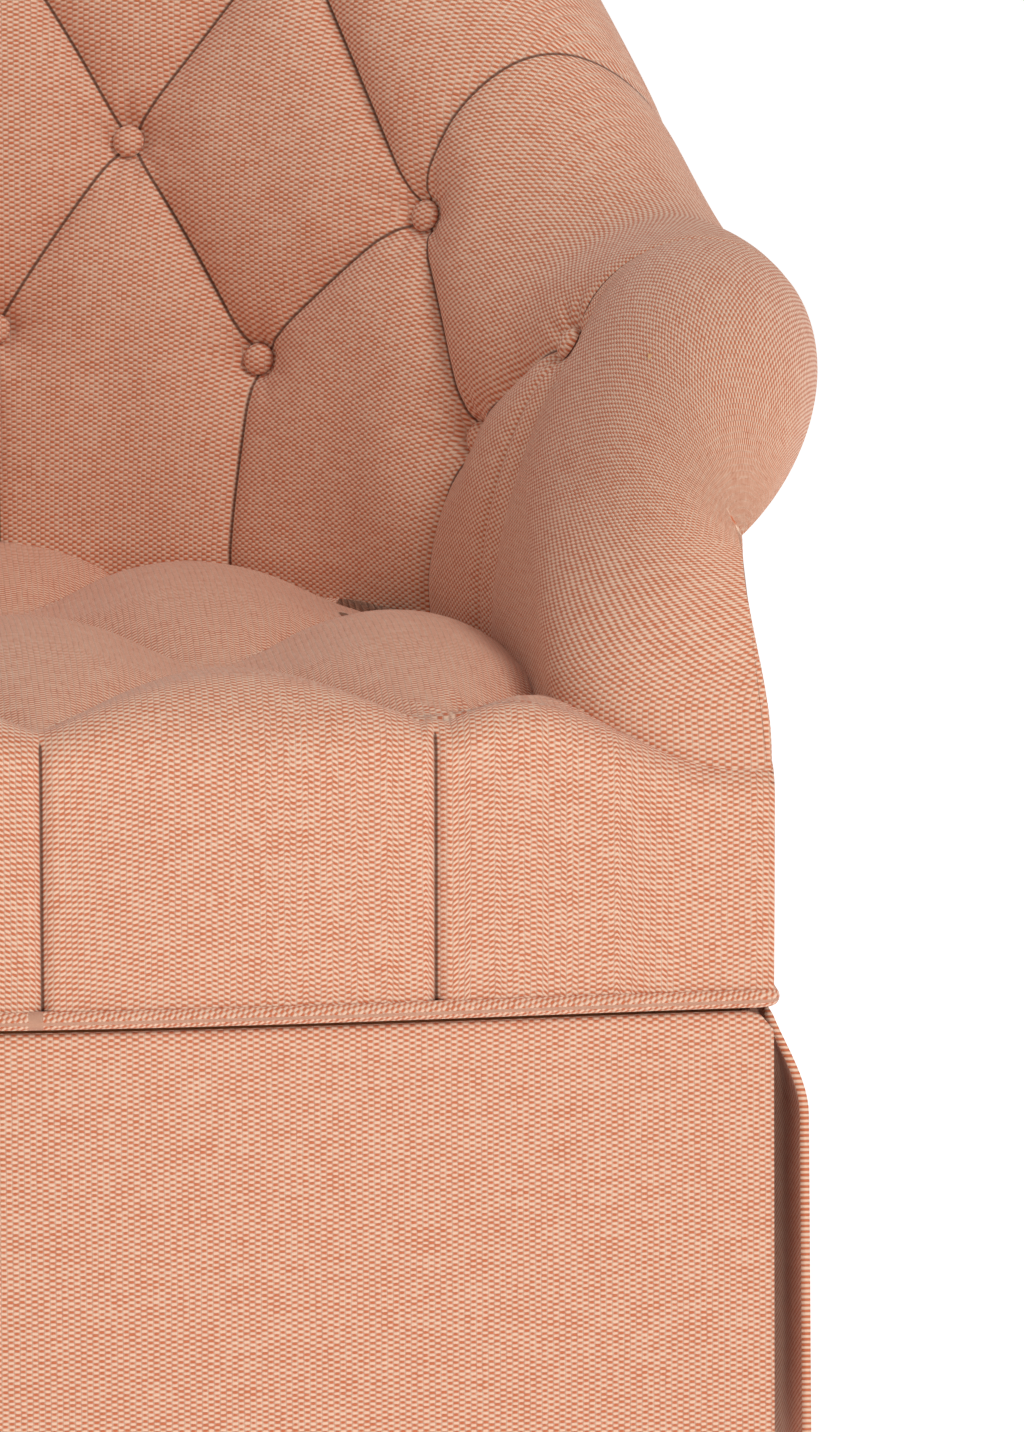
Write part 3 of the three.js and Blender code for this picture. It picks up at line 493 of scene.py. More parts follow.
def woven_cover():
    """Two-tone upholstery weave: matt, with a little sheen from loose fibre ends. The threads wander
    a little and have slubs, painted shade darkens the gaps between them, and painted shade is darkest
    at every line that the fold attribute marks."""
    material, tree, shader = start_material("two_tone_basket_weave", CREAM, 0.92, sheen=0.18)
    shader.inputs["Specular IOR Level"].default_value = 0.2
    uv = add_node(tree, "ShaderNodeUVMap", uv_map="weave").outputs[0]
    shift = stretched(tree, noise(tree, uv, 55.0, 2.0, "Color"), (WANDER, WANDER, 0.0))
    place = add_node(tree, "ShaderNodeVectorMath", {0: uv, 1: shift}, operation="ADD").outputs[0]
    split = add_node(tree, "ShaderNodeSeparateXYZ", {0: place})
    waves = []
    for axis, period in (("X", FLOAT_PERIOD_MM), ("Y", ROW_PERIOD_MM)):
        turns = maths(tree, "MULTIPLY", split.outputs[axis], 2 * math.pi / (period * MM))
        waves.append(maths(tree, "SINE", turns))
    checker = maths(tree, "MULTIPLY", *waves)
    slubs = [noise(tree, stretched(tree, uv, stretch), 1.0, 3.0) for stretch in SLUBS]
    streak = ranged(tree, maths(tree, "ADD", *slubs), (0.7, 1.3), (-STREAK, STREAK))
    float_share = maths(tree, "ADD", checker, streak)
    choice = ranged(tree, float_share, (-0.55, 0.75), (0.0, 1.0), "SMOOTHSTEP")
    yarn = mixed(tree, choice, linear(CREAM), linear(CORAL))
    gap = maths(tree, "ABSOLUTE", checker)
    # Painted shade: in the gaps between the floats the yarn colour is darkened to 0.8 of itself.
    between = ranged(tree, gap, (0.0, 0.30), (0.80, 1.0))
    shaded = add_node(tree, "ShaderNodeVectorMath", {0: yarn, "Scale": between}, operation="SCALE").outputs[0]
    # Painted shade: within 1.5 mm of a line in the fold attribute the cloth is mixed up to 85 % towards
    # FOLD_SHADE.
    fold = add_node(tree, "ShaderNodeAttribute", attribute_name="fold").outputs["Fac"]
    near = ranged(tree, fold, (0.4, 1.5), (0.85, 0.0), "SMOOTHSTEP")
    tree.links.new(mixed(tree, near, shaded, linear(FOLD_SHADE)), shader.inputs["Base Color"])
    fuzz = noise(tree, uv, 1400.0, 2.0)
    height = maths(tree, "MULTIPLY_ADD", fuzz, 0.35, maths(tree, "POWER", gap, 0.6))
    set_bump(tree, shader, height, 0.55, 0.7)
    return material


COVER = woven_cover()


def dress(obj, *nodes):
    """Puts the cover on a piece, rides it on the seat and hides the nodes it takes the place of."""
    obj.data.materials.append(COVER)
    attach(obj, "seat")
    if nodes:
        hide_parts(*nodes)
    print(obj.name, "points", len(obj.data.vertices))
    return obj


# %% [markdown]
# ## The tufted back
# The inside back is one cloth pulled over the padding from the seat to the neck and tied down at
# fourteen buttons in a diamond lattice. Its grid is laid out on that lattice, 32 columns and rows to a
# diamond's half, so that every pleat runs along the grid's own lines and stays crisp. A simulated
# cloth would round the folds off and would not land on the same lattice twice.

# %% The lattice
STEPS = 32
FOOT_ROWS = 40
TOP_ROWS = 84
ROW2, ROW1, ROW0 = FOOT_ROWS, FOOT_ROWS + STEPS, FOOT_ROWS + 2 * STEPS
LAST_ROW = ROW0 + TOP_ROWS
LATTICE_HALF = 5
LOW_ROW = (605.0, -3.9, 0.077)
MIDDLE_ROW = (720.6, -4.36, 0.03)
UPPER_BUTTONS = 848.0
COLUMN_DEGREES = (0.0, 14.1, 30.5, 50.0, 66.0, 87.5)
FAN = (0.0, 2.5, 5.0, 11.0, 12.0, 14.0)
FAN_RUN = 180.0


def lattice_angle(k):
    """Angle of lattice column k from the back's middle, even between one whole column and the next."""
    return np.sign(k) * np.radians(np.interp(np.abs(k), np.arange(6), COLUMN_DEGREES))


def row_height(row, k):
    """Height of a row of buttons, a + b k^2 + c k^4: lower towards the arms."""
    return row[0] + row[1] * k**2 + row[2] * k**4


def lattice_grid(k):
    """Angle and run of every grid row, for each lattice column. Rows step evenly between the foot,
    the three rows of buttons and the neck. Above a column's last button its pleat leans towards the
    arm: angle + FAN(k) * smooth(run past the button / FAN_RUN)."""
    angle = lattice_angle(k)
    size = np.abs(k)
    low = run_at_height(angle * BARREL_RADIUS, row_height(LOW_ROW, k))
    middle = run_at_height(angle * BARREL_RADIUS, row_height(MIDDLE_ROW, k))
    centre = np.minimum(size, 2.0)
    centre_along = lattice_angle(centre) * BARREL_RADIUS
    gap = run_at_height(centre_along, UPPER_BUTTONS - 0.3 * centre)
    gap = gap - run_at_height(centre_along, row_height(MIDDLE_ROW, centre))
    upper = middle + gap * (1 - 0.17 * np.maximum(size - 2, 0))
    shift = np.sign(k) * np.radians(np.interp(size, np.arange(6), FAN))
    marks = np.stack([0 * low, low, middle, upper, whole_run((angle + shift) * BARREL_RADIUS)], 1)
    rows = np.array([0, ROW2, ROW1, ROW0, LAST_ROW], float)
    grid = np.arange(LAST_ROW + 1, dtype=float)
    runs = read_off(np.broadcast_to(grid, (len(k), len(grid))), np.broadcast_to(rows, (len(k), 5)), marks)
    start = upper + (middle - upper) * np.clip(size - 2, 0, 1)
    return angle[:, None] + shift[:, None] * smooth((runs - start[:, None]) / FAN_RUN), runs


def lattice_line(start, end, spots=7):
    """A pleat's line in (angle, run), from one (column, row) of the lattice to another."""
    t = np.linspace(0, 1, spots)
    k = start[0] + (end[0] - start[0]) * t
    row = (start[1] + (end[1] - start[1]) * t)[:, None]
    angles, runs = lattice_grid(k)
    rows = np.broadcast_to(np.arange(LAST_ROW + 1.0), runs.shape)
    return list(zip(read_off(row, rows, angles)[:, 0], read_off(row, rows, runs)[:, 0]))


BUTTONS = [(k, ROW0) for k in (-2, 0, 2)]
BUTTONS += [(k, ROW1) for k in (-5, -3, -1, 1, 3, 5)]
BUTTONS += [(k, ROW2) for k in (-4, -2, 0, 2, 4)]
DIAMOND_WIDTH = 64.0
SEAT_PLEAT_DEPTH = 11.0
RIM_PLEAT_DEPTH = 2.6
RIM_PLEAT_WIDTH = 26.0
RIM_RATE = 4.0
OUTER_SHARE = 0.5


def share_at(k):
    """Share of the full depth at lattice column k: the outermost lies in thinner padding."""
    return OUTER_SHARE if abs(k) == LATTICE_HALF else 1.0


def back_pleats():
    """Every pleat between two buttons, down to the seat and up over the rim."""
    pleats = []
    for k in (-5, -3, -1, 1, 3, 5):
        start = PLEAT_DEPTH * share_at(k)
        full = (start, PLEAT_DEPTH, DIAMOND_WIDTH, DIAMOND_WIDTH, 1.5)
        for side in (-1, 1):
            if abs(k + side) <= 4:
                pleats.append((lattice_line((k, ROW1), (k + side, ROW2)), *full))
            if abs(k + side) <= 2:
                pleats.append((lattice_line((k, ROW1), (k + side, ROW0)), *full))
    for k, row in ((-5, ROW1), (-4, ROW2), (-2, ROW2), (0, ROW2), (2, ROW2), (4, ROW2), (5, ROW1)):
        start = PLEAT_DEPTH * share_at(k)
        pleats.append((lattice_line((k, row), (k, 0)), start, SEAT_PLEAT_DEPTH, DIAMOND_WIDTH, 48.0, 1.5))
    for k, row in ((-5, ROW1), (-3, ROW1), (-2, ROW0), (0, ROW0), (2, ROW0), (3, ROW1), (5, ROW1)):
        start = PLEAT_DEPTH * share_at(k)
        ends = (start, RIM_PLEAT_DEPTH, DIAMOND_WIDTH, RIM_PLEAT_WIDTH, RIM_RATE)
        pleats.append((lattice_line((k, row), (k, LAST_ROW), 30), *ends))
    return pleats


PLEATS = back_pleats()
BUTTON_SPOTS = [lattice_line(spot, spot, 1)[0] for spot in BUTTONS]
BUTTON_SHARES = [share_at(k) for k, row in BUTTONS]
FILL_RISE = 7.0
ARM_DRAW = 6.0
BUTTON_RADIUS = 9.5
BUTTON_SEAT = FILL_RISE - 0.85 * PLEAT_DEPTH - BUTTON_DIP


def padding_offset(angle, run, out, crest):
    """How far the cloth stands off the profile: the fill's rise, less the pleats and dimples. The
    fill fades at the foot, where the seat presses on it, and on the way to the crest, where the
    cloth is drawn tight. On the arms the cloth lies ARM_DRAW inside the profile. A button
    pulls its dimple's bottom flat."""
    scale = BARREL_RADIUS + np.clip(out, 0, None)
    sunk, fold = pleated(angle, run, scale, PLEATS)
    dip, gap, share = dimpled(angle, run, scale, BUTTON_SPOTS, BUTTON_SHARES)
    on_arm = smooth((np.abs(angle) - lattice_angle(5.0)) / 0.12)
    rise = FILL_RISE * (0.35 + 0.65 * smooth(run / 120)) * (1 - on_arm) - ARM_DRAW * on_arm
    swell = 0.8 * np.sin(angle * 9.1 + run * 0.021) * np.sin(run * 0.034 + 1.3)
    lift = (rise + swell) * (1 - smooth((run - crest + 110) / 90)) - sunk - dip
    return lift + (BUTTON_SEAT * share - lift) * (1 - smooth((gap - BUTTON_RADIUS) / 6)), fold


print("pleats", len(PLEATS), "buttons", len(BUTTONS))


# %% The inner return
def inner_return(along, foot_along):
    """The back side of the padding, from the neck round the frame's room to the foot, as four corners
    of (along, out, z). The upper three stand at along, the foot at foot_along."""
    neck = crest_height(along) - NECK_DROP
    behind = shell_reach(along, neck) - PANEL_THICKNESS - 2
    top = crest_height(along) - ROLL_RADIUS + 10
    top_out = roll_reach(along) - ROLL_RADIUS + 10
    corners_out = [behind, behind, top_out, foot_reach(foot_along) + PAD_DEPTH]
    corners_z = [neck, top, top, PAD_BASE + 0 * neck]
    return [np.stack(part, 1) for part in ([along, along, along, foot_along], corners_out, corners_z)]


# %% Make the back cover
def tufted_back():
    """The lattice grid displaced along the profile's normal, closed by the inner return."""
    k = np.linspace(-LATTICE_HALF, LATTICE_HALF, 2 * LATTICE_HALF * STEPS + 1)
    angle, run = lattice_grid(k)
    along = angle * BARREL_RADIUS
    out, z, n_out, n_z = profile_grid(along, run)
    lift, fold = padding_offset(angle, run, out, crest_run(along[:, -1]))
    lift *= 1 - smooth((run - run[:, -1:] + 40) / 40)
    skin = barrel_points(along, out + n_out * lift, z + n_z * lift)
    back_along, back_out, back_z = inner_return(along[:, -1], along[:, 0])
    rings = np.concatenate([skin, barrel_points(back_along, back_out, back_z)], 1)
    u = np.concatenate([angle, back_along / BARREL_RADIUS], 1) * (BARREL_RADIUS + 50)
    uv = np.stack([u, np.concatenate([run, 900 + back_z * 0.3], 1)], -1)
    fold_all = np.concatenate([fold, np.full(back_out.shape, 99.0)], 1)
    cell_k = np.floor((k[:-1] + k[1:]) / 2 - 1e-9)[:, None]
    cell_row = np.arange(rings.shape[1])[None]
    in_lattice = (cell_row >= ROW2) & (cell_row < ROW0)
    upper_half = (cell_row >= ROW1) & in_lattice
    falls = (cell_k % 2 == 0) ^ upper_half
    return closed_sweep("back_cover", rings, uv, fold_all, falls)


back_cover = dress(tufted_back(), "back_pad")

# %% [markdown]
# ## Covered buttons
# Each button is a 19 mm shell under the same cloth: a low dome with a tight rim. It is a profile
# turned about its own axis and set on the bottom of its dimple.

# %% Buttons
def button_at(name, centre, axis):
    """A dome r = R(1 - t^3) turned about axis, with a rounded rim and a flat back."""
    axis = axis / np.linalg.norm(axis)
    across = np.cross(axis, (0.0, 0.0, 1.0))
    across /= np.linalg.norm(across)
    upward = np.cross(across, axis)
    radius = np.array([0.0, 2.4, 4.8, 6.8, 8.3, 9.2, 9.5, 9.2, 8.0, 4.0, 0.0]) * BUTTON_RADIUS / 9.5
    height = np.array([5.6, 5.4, 4.8, 3.9, 2.7, 1.3, 0.0, -1.4, -2.6, -3.0, -3.0])
    turn = np.linspace(0, 2 * math.pi, 33)[:-1]
    ring = np.cos(turn)[:, None] * across + np.sin(turn)[:, None] * upward
    points = centre + ring[:, None] * radius[None, :, None] + axis * height[None, :, None]
    faces = loop_faces(*points.shape[:2], False)
    uv = np.stack([np.cos(turn)[:, None] * radius, np.sin(turn)[:, None] * radius], -1)
    # Painted shade: the underside of the rim and the flat back are darkened with the fold shade.
    fold = np.broadcast_to(np.where(height < -0.5, 0.6, 99.0), points.shape[:2])
    return add_piece(name, points.reshape(-1, 3), faces, uv.reshape(-1, 2) + 300 * axis[0], fold.ravel())


def set_buttons():
    """One button on the bottom of each dimple, facing along the padding's normal there."""
    spots = np.array(BUTTON_SPOTS)
    along, run = spots[:, 0] * BARREL_RADIUS, spots[:, 1:]
    out, z, n_out, n_z = profile_at(along, run)
    lift = BUTTON_SEAT * np.array(BUTTON_SHARES)[:, None] + 2.5
    centre = barrel_points(along[:, None], out + n_out * lift, z + n_z * lift)[:, 0]
    ahead = barrel_points(along[:, None], out + n_out * (lift + 5), z + n_z * (lift + 5))[:, 0]
    for i in range(len(spots)):
        dress(button_at(f"button_{i + 1}", centre[i], ahead[i] - centre[i]))


set_buttons()

# %% [markdown]
# ## The arms
# From the outermost pleat forward the cloth is smooth. It runs down the inside of the arm, turns the
# front in one soft form and ends at the outer seam, and at the top it gathers to the neck under the
# roll. So each arm is one surface: the profile carried forward, then drawn across to the seam while
# the rest of its reach follows a superellipse, tight beside the seat and broad above it.

# %% Arm covers
NOSE = 62.0
NOSE_GROWTH = 165.0
NOSE_POWER = 2 / 3
POWER_GROWTH = 0.22
BROAD_FROM = 450.0
BROAD_RISE = 130.0
NOSE_COLUMNS = 56
ARM_COLUMNS = 70
ARM_ROWS = 168
SEAM_INSET = 1.0
SEAM_BEND = 480.0
SEAM_TOP = ARM_TOP - NECK_DROP


def seam_height(z, run):
    """Height on the outer seam of each line of the cloth: its own height z up to SEAM_BEND, then
    closer and closer together up to SEAM_TOP, where all that goes over the roll is gathered."""
    room = SEAM_TOP - SEAM_BEND
    s = np.clip((z - SEAM_BEND) / (2 * room), 0, 1)
    rising = np.where(z < SEAM_BEND, z, SEAM_BEND + room * (2 * s - s * s))
    return rising + (SEAM_TOP - rising) * smooth((run - 250) / 120)


def nose_shape(share):
    """Depth and superellipse power of the arm's front at each share of the profile's length: tight
    beside the seat, one broad round form above it."""
    front = np.array([ARM_END - NOSE])
    height = profile_at(front, whole_run(front)[:, None] * share)[1]
    broad = smooth((height - BROAD_FROM) / BROAD_RISE)
    return NOSE + NOSE_GROWTH * broad, NOSE_POWER + POWER_GROWTH * broad


def arm_skin(side):
    """The arm's cloth as rings of points, with its weave and folds. The first column follows the
    back's outermost pleat."""
    straight = np.linspace(0, 1, ARM_COLUMNS)[:, None]
    bend = np.linspace(0, math.pi / 2, NOSE_COLUMNS)[1:, None]
    share = np.linspace(0, 1, ARM_ROWS)[None]
    nose, power = nose_shape(share)
    joint_angle, joint_run = lattice_grid(np.array([5.0]))
    joint_end = joint_angle[0, -1] * BARREL_RADIUS
    along_share = np.append(straight, np.ones(len(bend)))
    last_reach = joint_end + (ARM_END - nose[0, -1] - joint_end) * along_share
    run = whole_run(last_reach)[:, None] * share
    joint = np.interp(run, joint_run[0], joint_angle[0]) * BARREL_RADIUS
    base = joint + (ARM_END - nose - joint) * along_share[:, None]
    level = 0 * straight * share
    across = np.concatenate([level, 1 - np.cos(bend) ** power])
    forward = np.concatenate([level, np.sin(bend) ** power]) * nose
    out, z, n_out, n_z = profile_grid(base, run)
    reach = base + forward
    lift, fold = padding_offset(reach / BARREL_RADIUS, run, 0 * run, crest_run(last_reach))
    lift *= 1 - smooth((run - run[:, -1:] + 40) / 40)
    out, z = out + n_out * lift, z + n_z * lift
    seam_z = seam_height(z, run)
    out = out + (shell_reach(base, seam_z) - SEAM_INSET - out) * across
    z = z + (seam_z - z) * across
    back_along, back_out, back_z = inner_return(base[:, -1], base[:, 0])
    ends = [-1, -1, -1, 0]
    back_seam_z = np.minimum(back_z, SEAM_TOP)
    back_seam = shell_reach(back_along, back_seam_z) - SEAM_INSET - 1
    back_out = back_out + (back_seam - back_out) * across[:, ends]
    back_z = back_z + (back_seam_z - back_z) * across[:, ends]
    rings_reach = np.concatenate([reach, back_along + forward[:, ends]], 1)
    rings_out = np.concatenate([out, back_out], 1)
    rings_z = np.concatenate([z, back_z], 1)
    stretch = (BARREL_RADIUS + 50) / BARREL_RADIUS
    width = np.concatenate([base * stretch + 105 * across + 0.6 * forward, back_along * stretch], 1)
    uv = np.stack([side * width, np.concatenate([run, 900 + 0.3 * back_z], 1)], -1)
    folds = np.concatenate([fold, np.full(back_out.shape, 99.0)], 1)
    return barrel_points(side * rings_reach, rings_out, rings_z), uv, folds


for name, side in (("left", -1), ("right", 1)):
    rings, uv, folds = arm_skin(side)
    arm = dress(closed_sweep("arm_cover_" + name, rings, uv, folds), "arm_pad_" + name)

# %% [markdown]
# ## The seat
# The seat is a tight seat: one cloth, tufted in soft diamonds without buttons, pulled over the front
# and down to the welt. Where a row of diamonds ends at the front edge, its fullness is folded into a
# vertical pleat. The surface is a height over the plan, then a quarter ellipse over the edge, then
# the upright border.

# %% Seat cover
TUFT_HALF = 107.5
TUFT_FRONT = -283.0
TUFT_STEP = 200.0
TUFT_COUNT = 4
SEAT_CREST = 480.0
SEAT_VALLEY = 26.0
SEAT_WIDTH = 100.0
EDGE_AT_PLEAT = 20.0
EDGE_PUFF = 34.0
SEAT_TUCK = 12.0
SIDE_PLEATS = (-2 * TUFT_HALF, 0.0, 2 * TUFT_HALF)


def bow_at(x):
    """How far the front stands ahead of its corners: a cosine to the power 1.3."""
    return BOW * np.cos(math.pi / 2 * np.minimum(1, np.abs(x) / HALF_WIDTH)) ** 1.3


def seat_pleats():
    """The diamonds' valleys in plan, from each tuft to its neighbours one step further back."""
    full = (PLEAT_DEPTH, PLEAT_DEPTH, SEAT_WIDTH, SEAT_WIDTH, 1.0)
    pleats = []
    for step in range(TUFT_COUNT - 1):
        for i in range(-3, 4):
            if (i + step) % 2 == 0:
                for side in (-1, 1):
                    start = (i * TUFT_HALF, TUFT_FRONT + step * TUFT_STEP)
                    end = ((i + side) * TUFT_HALF, TUFT_FRONT + (step + 1) * TUFT_STEP)
                    pleats.append(([start, end], *full))
    return pleats


def seat_half_width(y):
    """The seat's half width under the arms at each depth, y from the barrel's centre."""
    round_part = np.sqrt(np.maximum(0.0, (BARREL_RADIUS + SEAT_TUCK) ** 2 - np.maximum(y, 0) ** 2))
    straight = BARREL_RADIUS + SEAT_TUCK + ARM_SPREAD * np.clip(-y / ARM_LENGTH, 0, 1)
    turn = np.clip((-y - (ARM_LENGTH - NOSE - 12)) / (NOSE - 3), 0, 1)
    nose = (HALF_WIDTH - straight) * (1 - np.sqrt(1 - turn**2))
    return np.where(y > 0, round_part, straight + nose)


def seat_height(x, y):
    """Crest height, less the soft valleys, the pillow's fall to its edges and the front corners."""
    sunk = pleated(x, y, 1.0, seat_pleats())[0]
    edge = np.clip(1 - (seat_half_width(y) - np.abs(x)) / 46, 0, 1)
    corner = smooth((np.abs(x) - 225) / 150) * smooth((-120 - y) / 140)
    height = SEAT_CREST - sunk * SEAT_VALLEY / PLEAT_DEPTH - 9 * edge**2 * (1 - corner)
    return height + (PAD_BASE + 14 - height) * corner


def seat_columns():
    """Shares of the half width, closer together beside the border's pleats."""
    even = np.linspace(-1, 1, 231)
    near = np.concatenate([np.linspace(-9, 9, 25) + x for x in SIDE_PLEATS]) / HALF_WIDTH
    both = np.unique(np.round(np.concatenate([even, near]), 5))
    return both[np.concatenate([[True], np.diff(both) > 0.0012])]


def seat_cover():
    """Columns run from the rear to the front edge, over it and down the border, and back inside."""
    p = seat_columns()[:, None]
    t = np.linspace(0, 1, 130)[None] ** 0.92
    rear = BARREL_RADIUS + SEAT_TUCK - 6
    y_flat = rear + (CORNER_Y + EDGE_AT_PLEAT - rear) * t
    x = p * seat_half_width(y_flat)
    puff = np.where(np.abs(x) < 2 * TUFT_HALF, np.sin(math.pi * x / (2 * TUFT_HALF)) ** 2, 0.0)
    edge = EDGE_AT_PLEAT + EDGE_PUFF * puff
    face_y = CORNER_Y - bow_at(x)
    y = y_flat + (face_y + edge - CORNER_Y - EDGE_AT_PLEAT) * smooth((t - 0.35) / 0.65)
    z = seat_height(x, y)
    x_end, z_end, edge_end, face_end = x[:, -1:], z[:, -1:], edge[:, -1:], face_y[:, -1:]
    turn = np.linspace(0, math.pi / 2, 26)[None, 1:]
    over_y = face_end + edge_end * (1 - np.sin(turn))
    over_z = z_end - edge_end * 0.95 * (1 - np.cos(turn))
    drop = np.linspace(0, 1, 60)[None, 1:]
    bottom = WELT_Z + 4.0
    down_z = over_z[:, -1:] + (bottom - over_z[:, -1:]) * drop
    crown = 2.0 * np.sin(math.pi * drop) * np.abs(np.sin(math.pi * x_end / (2 * TUFT_HALF)))
    down_y = face_end - crown
    gap = np.min([np.abs(x_end - s) for s in SIDE_PLEATS], axis=0)
    groove = 5.0 * np.clip(1 - gap / 8.0, 0, 1) ** 1.8
    over_y = over_y + groove * smooth(turn)
    down_y = down_y + groove
    # Painted shade: the fold values darken the cloth along the border's pleat grooves and the seam at each
    # front corner.
    seam = np.abs(np.abs(x_end) - (HALF_WIDTH - 5))
    front_fold = np.minimum(gap, np.where(down_z < over_z[:, -1:], seam, 99.0))
    inner_y = np.concatenate([face_end + 14, face_end + 14, 0 * face_end + rear], 1)
    inner_z = np.broadcast_to([bottom, PAD_BASE - 12, PAD_BASE - 12], inner_y.shape)
    inner_x = np.concatenate([x_end, x_end, x[:, :1]], 1)
    ys = np.concatenate([y, over_y, down_y, inner_y], 1)
    zs = np.concatenate([z, over_z, down_z, inner_z], 1)
    ones = np.ones((1, over_y.shape[1] + down_y.shape[1]))
    xs = np.concatenate([x, x_end * ones, inner_x], 1)
    rings = np.stack([xs, ys + BARREL_Y, zs], -1)
    fold_front = np.concatenate([gap + 0 * over_y + 6 * (1 - smooth(turn)), front_fold], 1)
    folds = np.concatenate([np.full(z.shape, 99.0), fold_front, np.full(inner_y.shape, 99.0)], 1)
    run = np.concatenate([0 * p, np.cumsum(np.hypot(np.diff(ys, axis=1), np.diff(zs, axis=1)), 1)], 1)
    uv = np.stack([xs, -run], -1)
    return closed_sweep("seat_cover", rings, uv, folds)


seat = dress(seat_cover(), "seat_pad", "front_border")

# %% [markdown]
# ## Outside back and arms
# The outside is plain cloth over card and a thin pad, closed with a seam under the roll. A flat box
# would look like board, so each panel is the shell's own face with a slight crown.

# %% Outside panels
OUTSIDE_JOINT = QUARTER - 40
PANEL_CROWN = 3.0


def outside_panel(start, end):
    """Rings of the outside face, crowned between its edges, and the inside face behind it."""
    count = int(abs(end - start) / 6) + 2
    along = np.linspace(start, end, count)[:, None]
    t = np.linspace(0, 1, 64)[None]
    top = crest_height(along) - NECK_DROP + 1
    z = PANEL_BOTTOM - 4 + (top - PANEL_BOTTOM + 4) * t
    across = np.clip(np.minimum(np.abs(along - start), np.abs(end - along)) / 60, 0, 1)
    crown = PANEL_CROWN * np.sin(math.pi * t) ** 0.6 * smooth(across)
    rounding = 3.0 * (1 - smooth(np.minimum(t, 1 - t) * 60)) + 2.0 * (1 - smooth(across * 12))
    out = shell_reach(along, z) + crown - rounding
    inside = shell_reach(along, z[:, ::-8]) - PANEL_THICKNESS
    rings = barrel_points(along, np.concatenate([out, inside], 1), np.concatenate([z, z[:, ::-8]], 1))
    u = along * (BARREL_RADIUS + SHELL) / BARREL_RADIUS
    uv = np.stack([u + 0 * rings[..., 2], rings[..., 2]], -1)
    # Painted shade: a line 3 mm in from each side edge of the panel, at its seam, is darkened with the fold
    # shade.
    seam = np.abs(np.minimum(np.abs(along - start), np.abs(end - along)) - 3) * 1.5 + 0.7
    folds = np.concatenate([seam + 0 * out, np.full(inside.shape, 99.0)], 1)
    return closed_sweep("panel", rings, uv, folds)


outside = outside_panel(-OUTSIDE_JOINT, OUTSIDE_JOINT)
outside.name = "outside_back_cover"
dress(outside, "outside_back")
for name, side in (("left", -1), ("right", 1)):
    outside = outside_panel(side * (OUTSIDE_JOINT + 0.8), side * (ARM_END - 2))
    outside.name = "outside_arm_cover_" + name
    dress(outside, "outside_arm_" + name)

# %% [markdown]
# ## Welt
# A cord wrapped in a bias strip of the cover runs round the chair above the skirt. It is a circle
# carried along the box's outline.

# %% Box outline and welt
def box_outline():
    """The box's outline from the front's middle round the sitter's left and back: points, outward
    directions and the run along it. The front is bowed, the corners turn on a small radius."""
    front_x = np.linspace(0, HALF_WIDTH - 7, 50)
    front = np.stack([front_x, CORNER_Y - bow_at(front_x)], 1)
    turn = np.radians(np.linspace(-80, 0, 7))
    corner = np.stack([HALF_WIDTH - 8 + 8 * np.cos(turn), CORNER_Y + 8 + 8 * np.sin(turn)], 1)
    side_y = np.linspace(CORNER_Y + 16, 0, 30)
    side = np.stack([0 * side_y + HALF_WIDTH, side_y], 1)
    turn = np.radians(np.linspace(3, 90, 60))
    rear = HALF_WIDTH * np.stack([np.cos(turn), np.sin(turn)], 1)
    half = np.concatenate([front, corner, side, rear])
    other = half[::-1] * (-1, 1)
    loop = np.concatenate([half, other[1:-1]])
    ahead = np.roll(loop, -1, 0) - np.roll(loop, 1, 0)
    outward = np.stack([ahead[:, 1], -ahead[:, 0]], 1)
    return loop, outward / np.linalg.norm(outward, axis=1)[:, None]


def welt():
    """A ring of radius 5 mm round every point of the outline, joined end to end."""
    loop, outward = box_outline()
    turn = np.linspace(0, 2 * math.pi, 17)[:-1]
    reach = 5.0 * np.cos(turn)[None] - 1.0
    xy = loop[:, None] + outward[:, None] * reach[..., None]
    z = np.broadcast_to(WELT_Z + 5.2 * np.sin(turn), reach.shape[:1] + xy.shape[1:2]) + 0 * xy[..., 0]
    points = np.concatenate([xy + (0, BARREL_Y), z[..., None]], -1)
    faces = loop_faces(*points.shape[:2], True)
    run = np.cumsum(np.linalg.norm(np.diff(loop, axis=0, prepend=loop[:1]), axis=1))[:, None]
    girth = 5.0 * turn[None]
    uv = np.stack([(run + girth) * 0.7071, (run - girth) * 0.7071], -1)
    # Painted shade: the cord is darkened with the fold shade on the part of its girth that turns in towards
    # the chair.
    edge = np.where(np.cos(turn) < 0.35, 0.5, 99.0)[None] + 0 * run
    return add_piece("welt", points.reshape(-1, 3), faces, uv.reshape(-1, 2), edge.ravel())


dress(welt(), "welt_cord")

# %% [markdown]
# ## Skirt
# Four flat lined panels hang from under the welt to just above the floor, with an underlay behind each
# corner to fill the kick pleat. Each is a sheet of cloth of a known cut. The panels hang straight, so
# they are laid out directly: an outline, how far it stands out at each height, and a thin wall.

# %% Skirt panels
SKIRT_THICKNESS = 5.0
FRONT_FLARE = 14.0
SIDE_FLARE = 24.0
REAR_PLEAT = math.radians(48) * BARREL_RADIUS


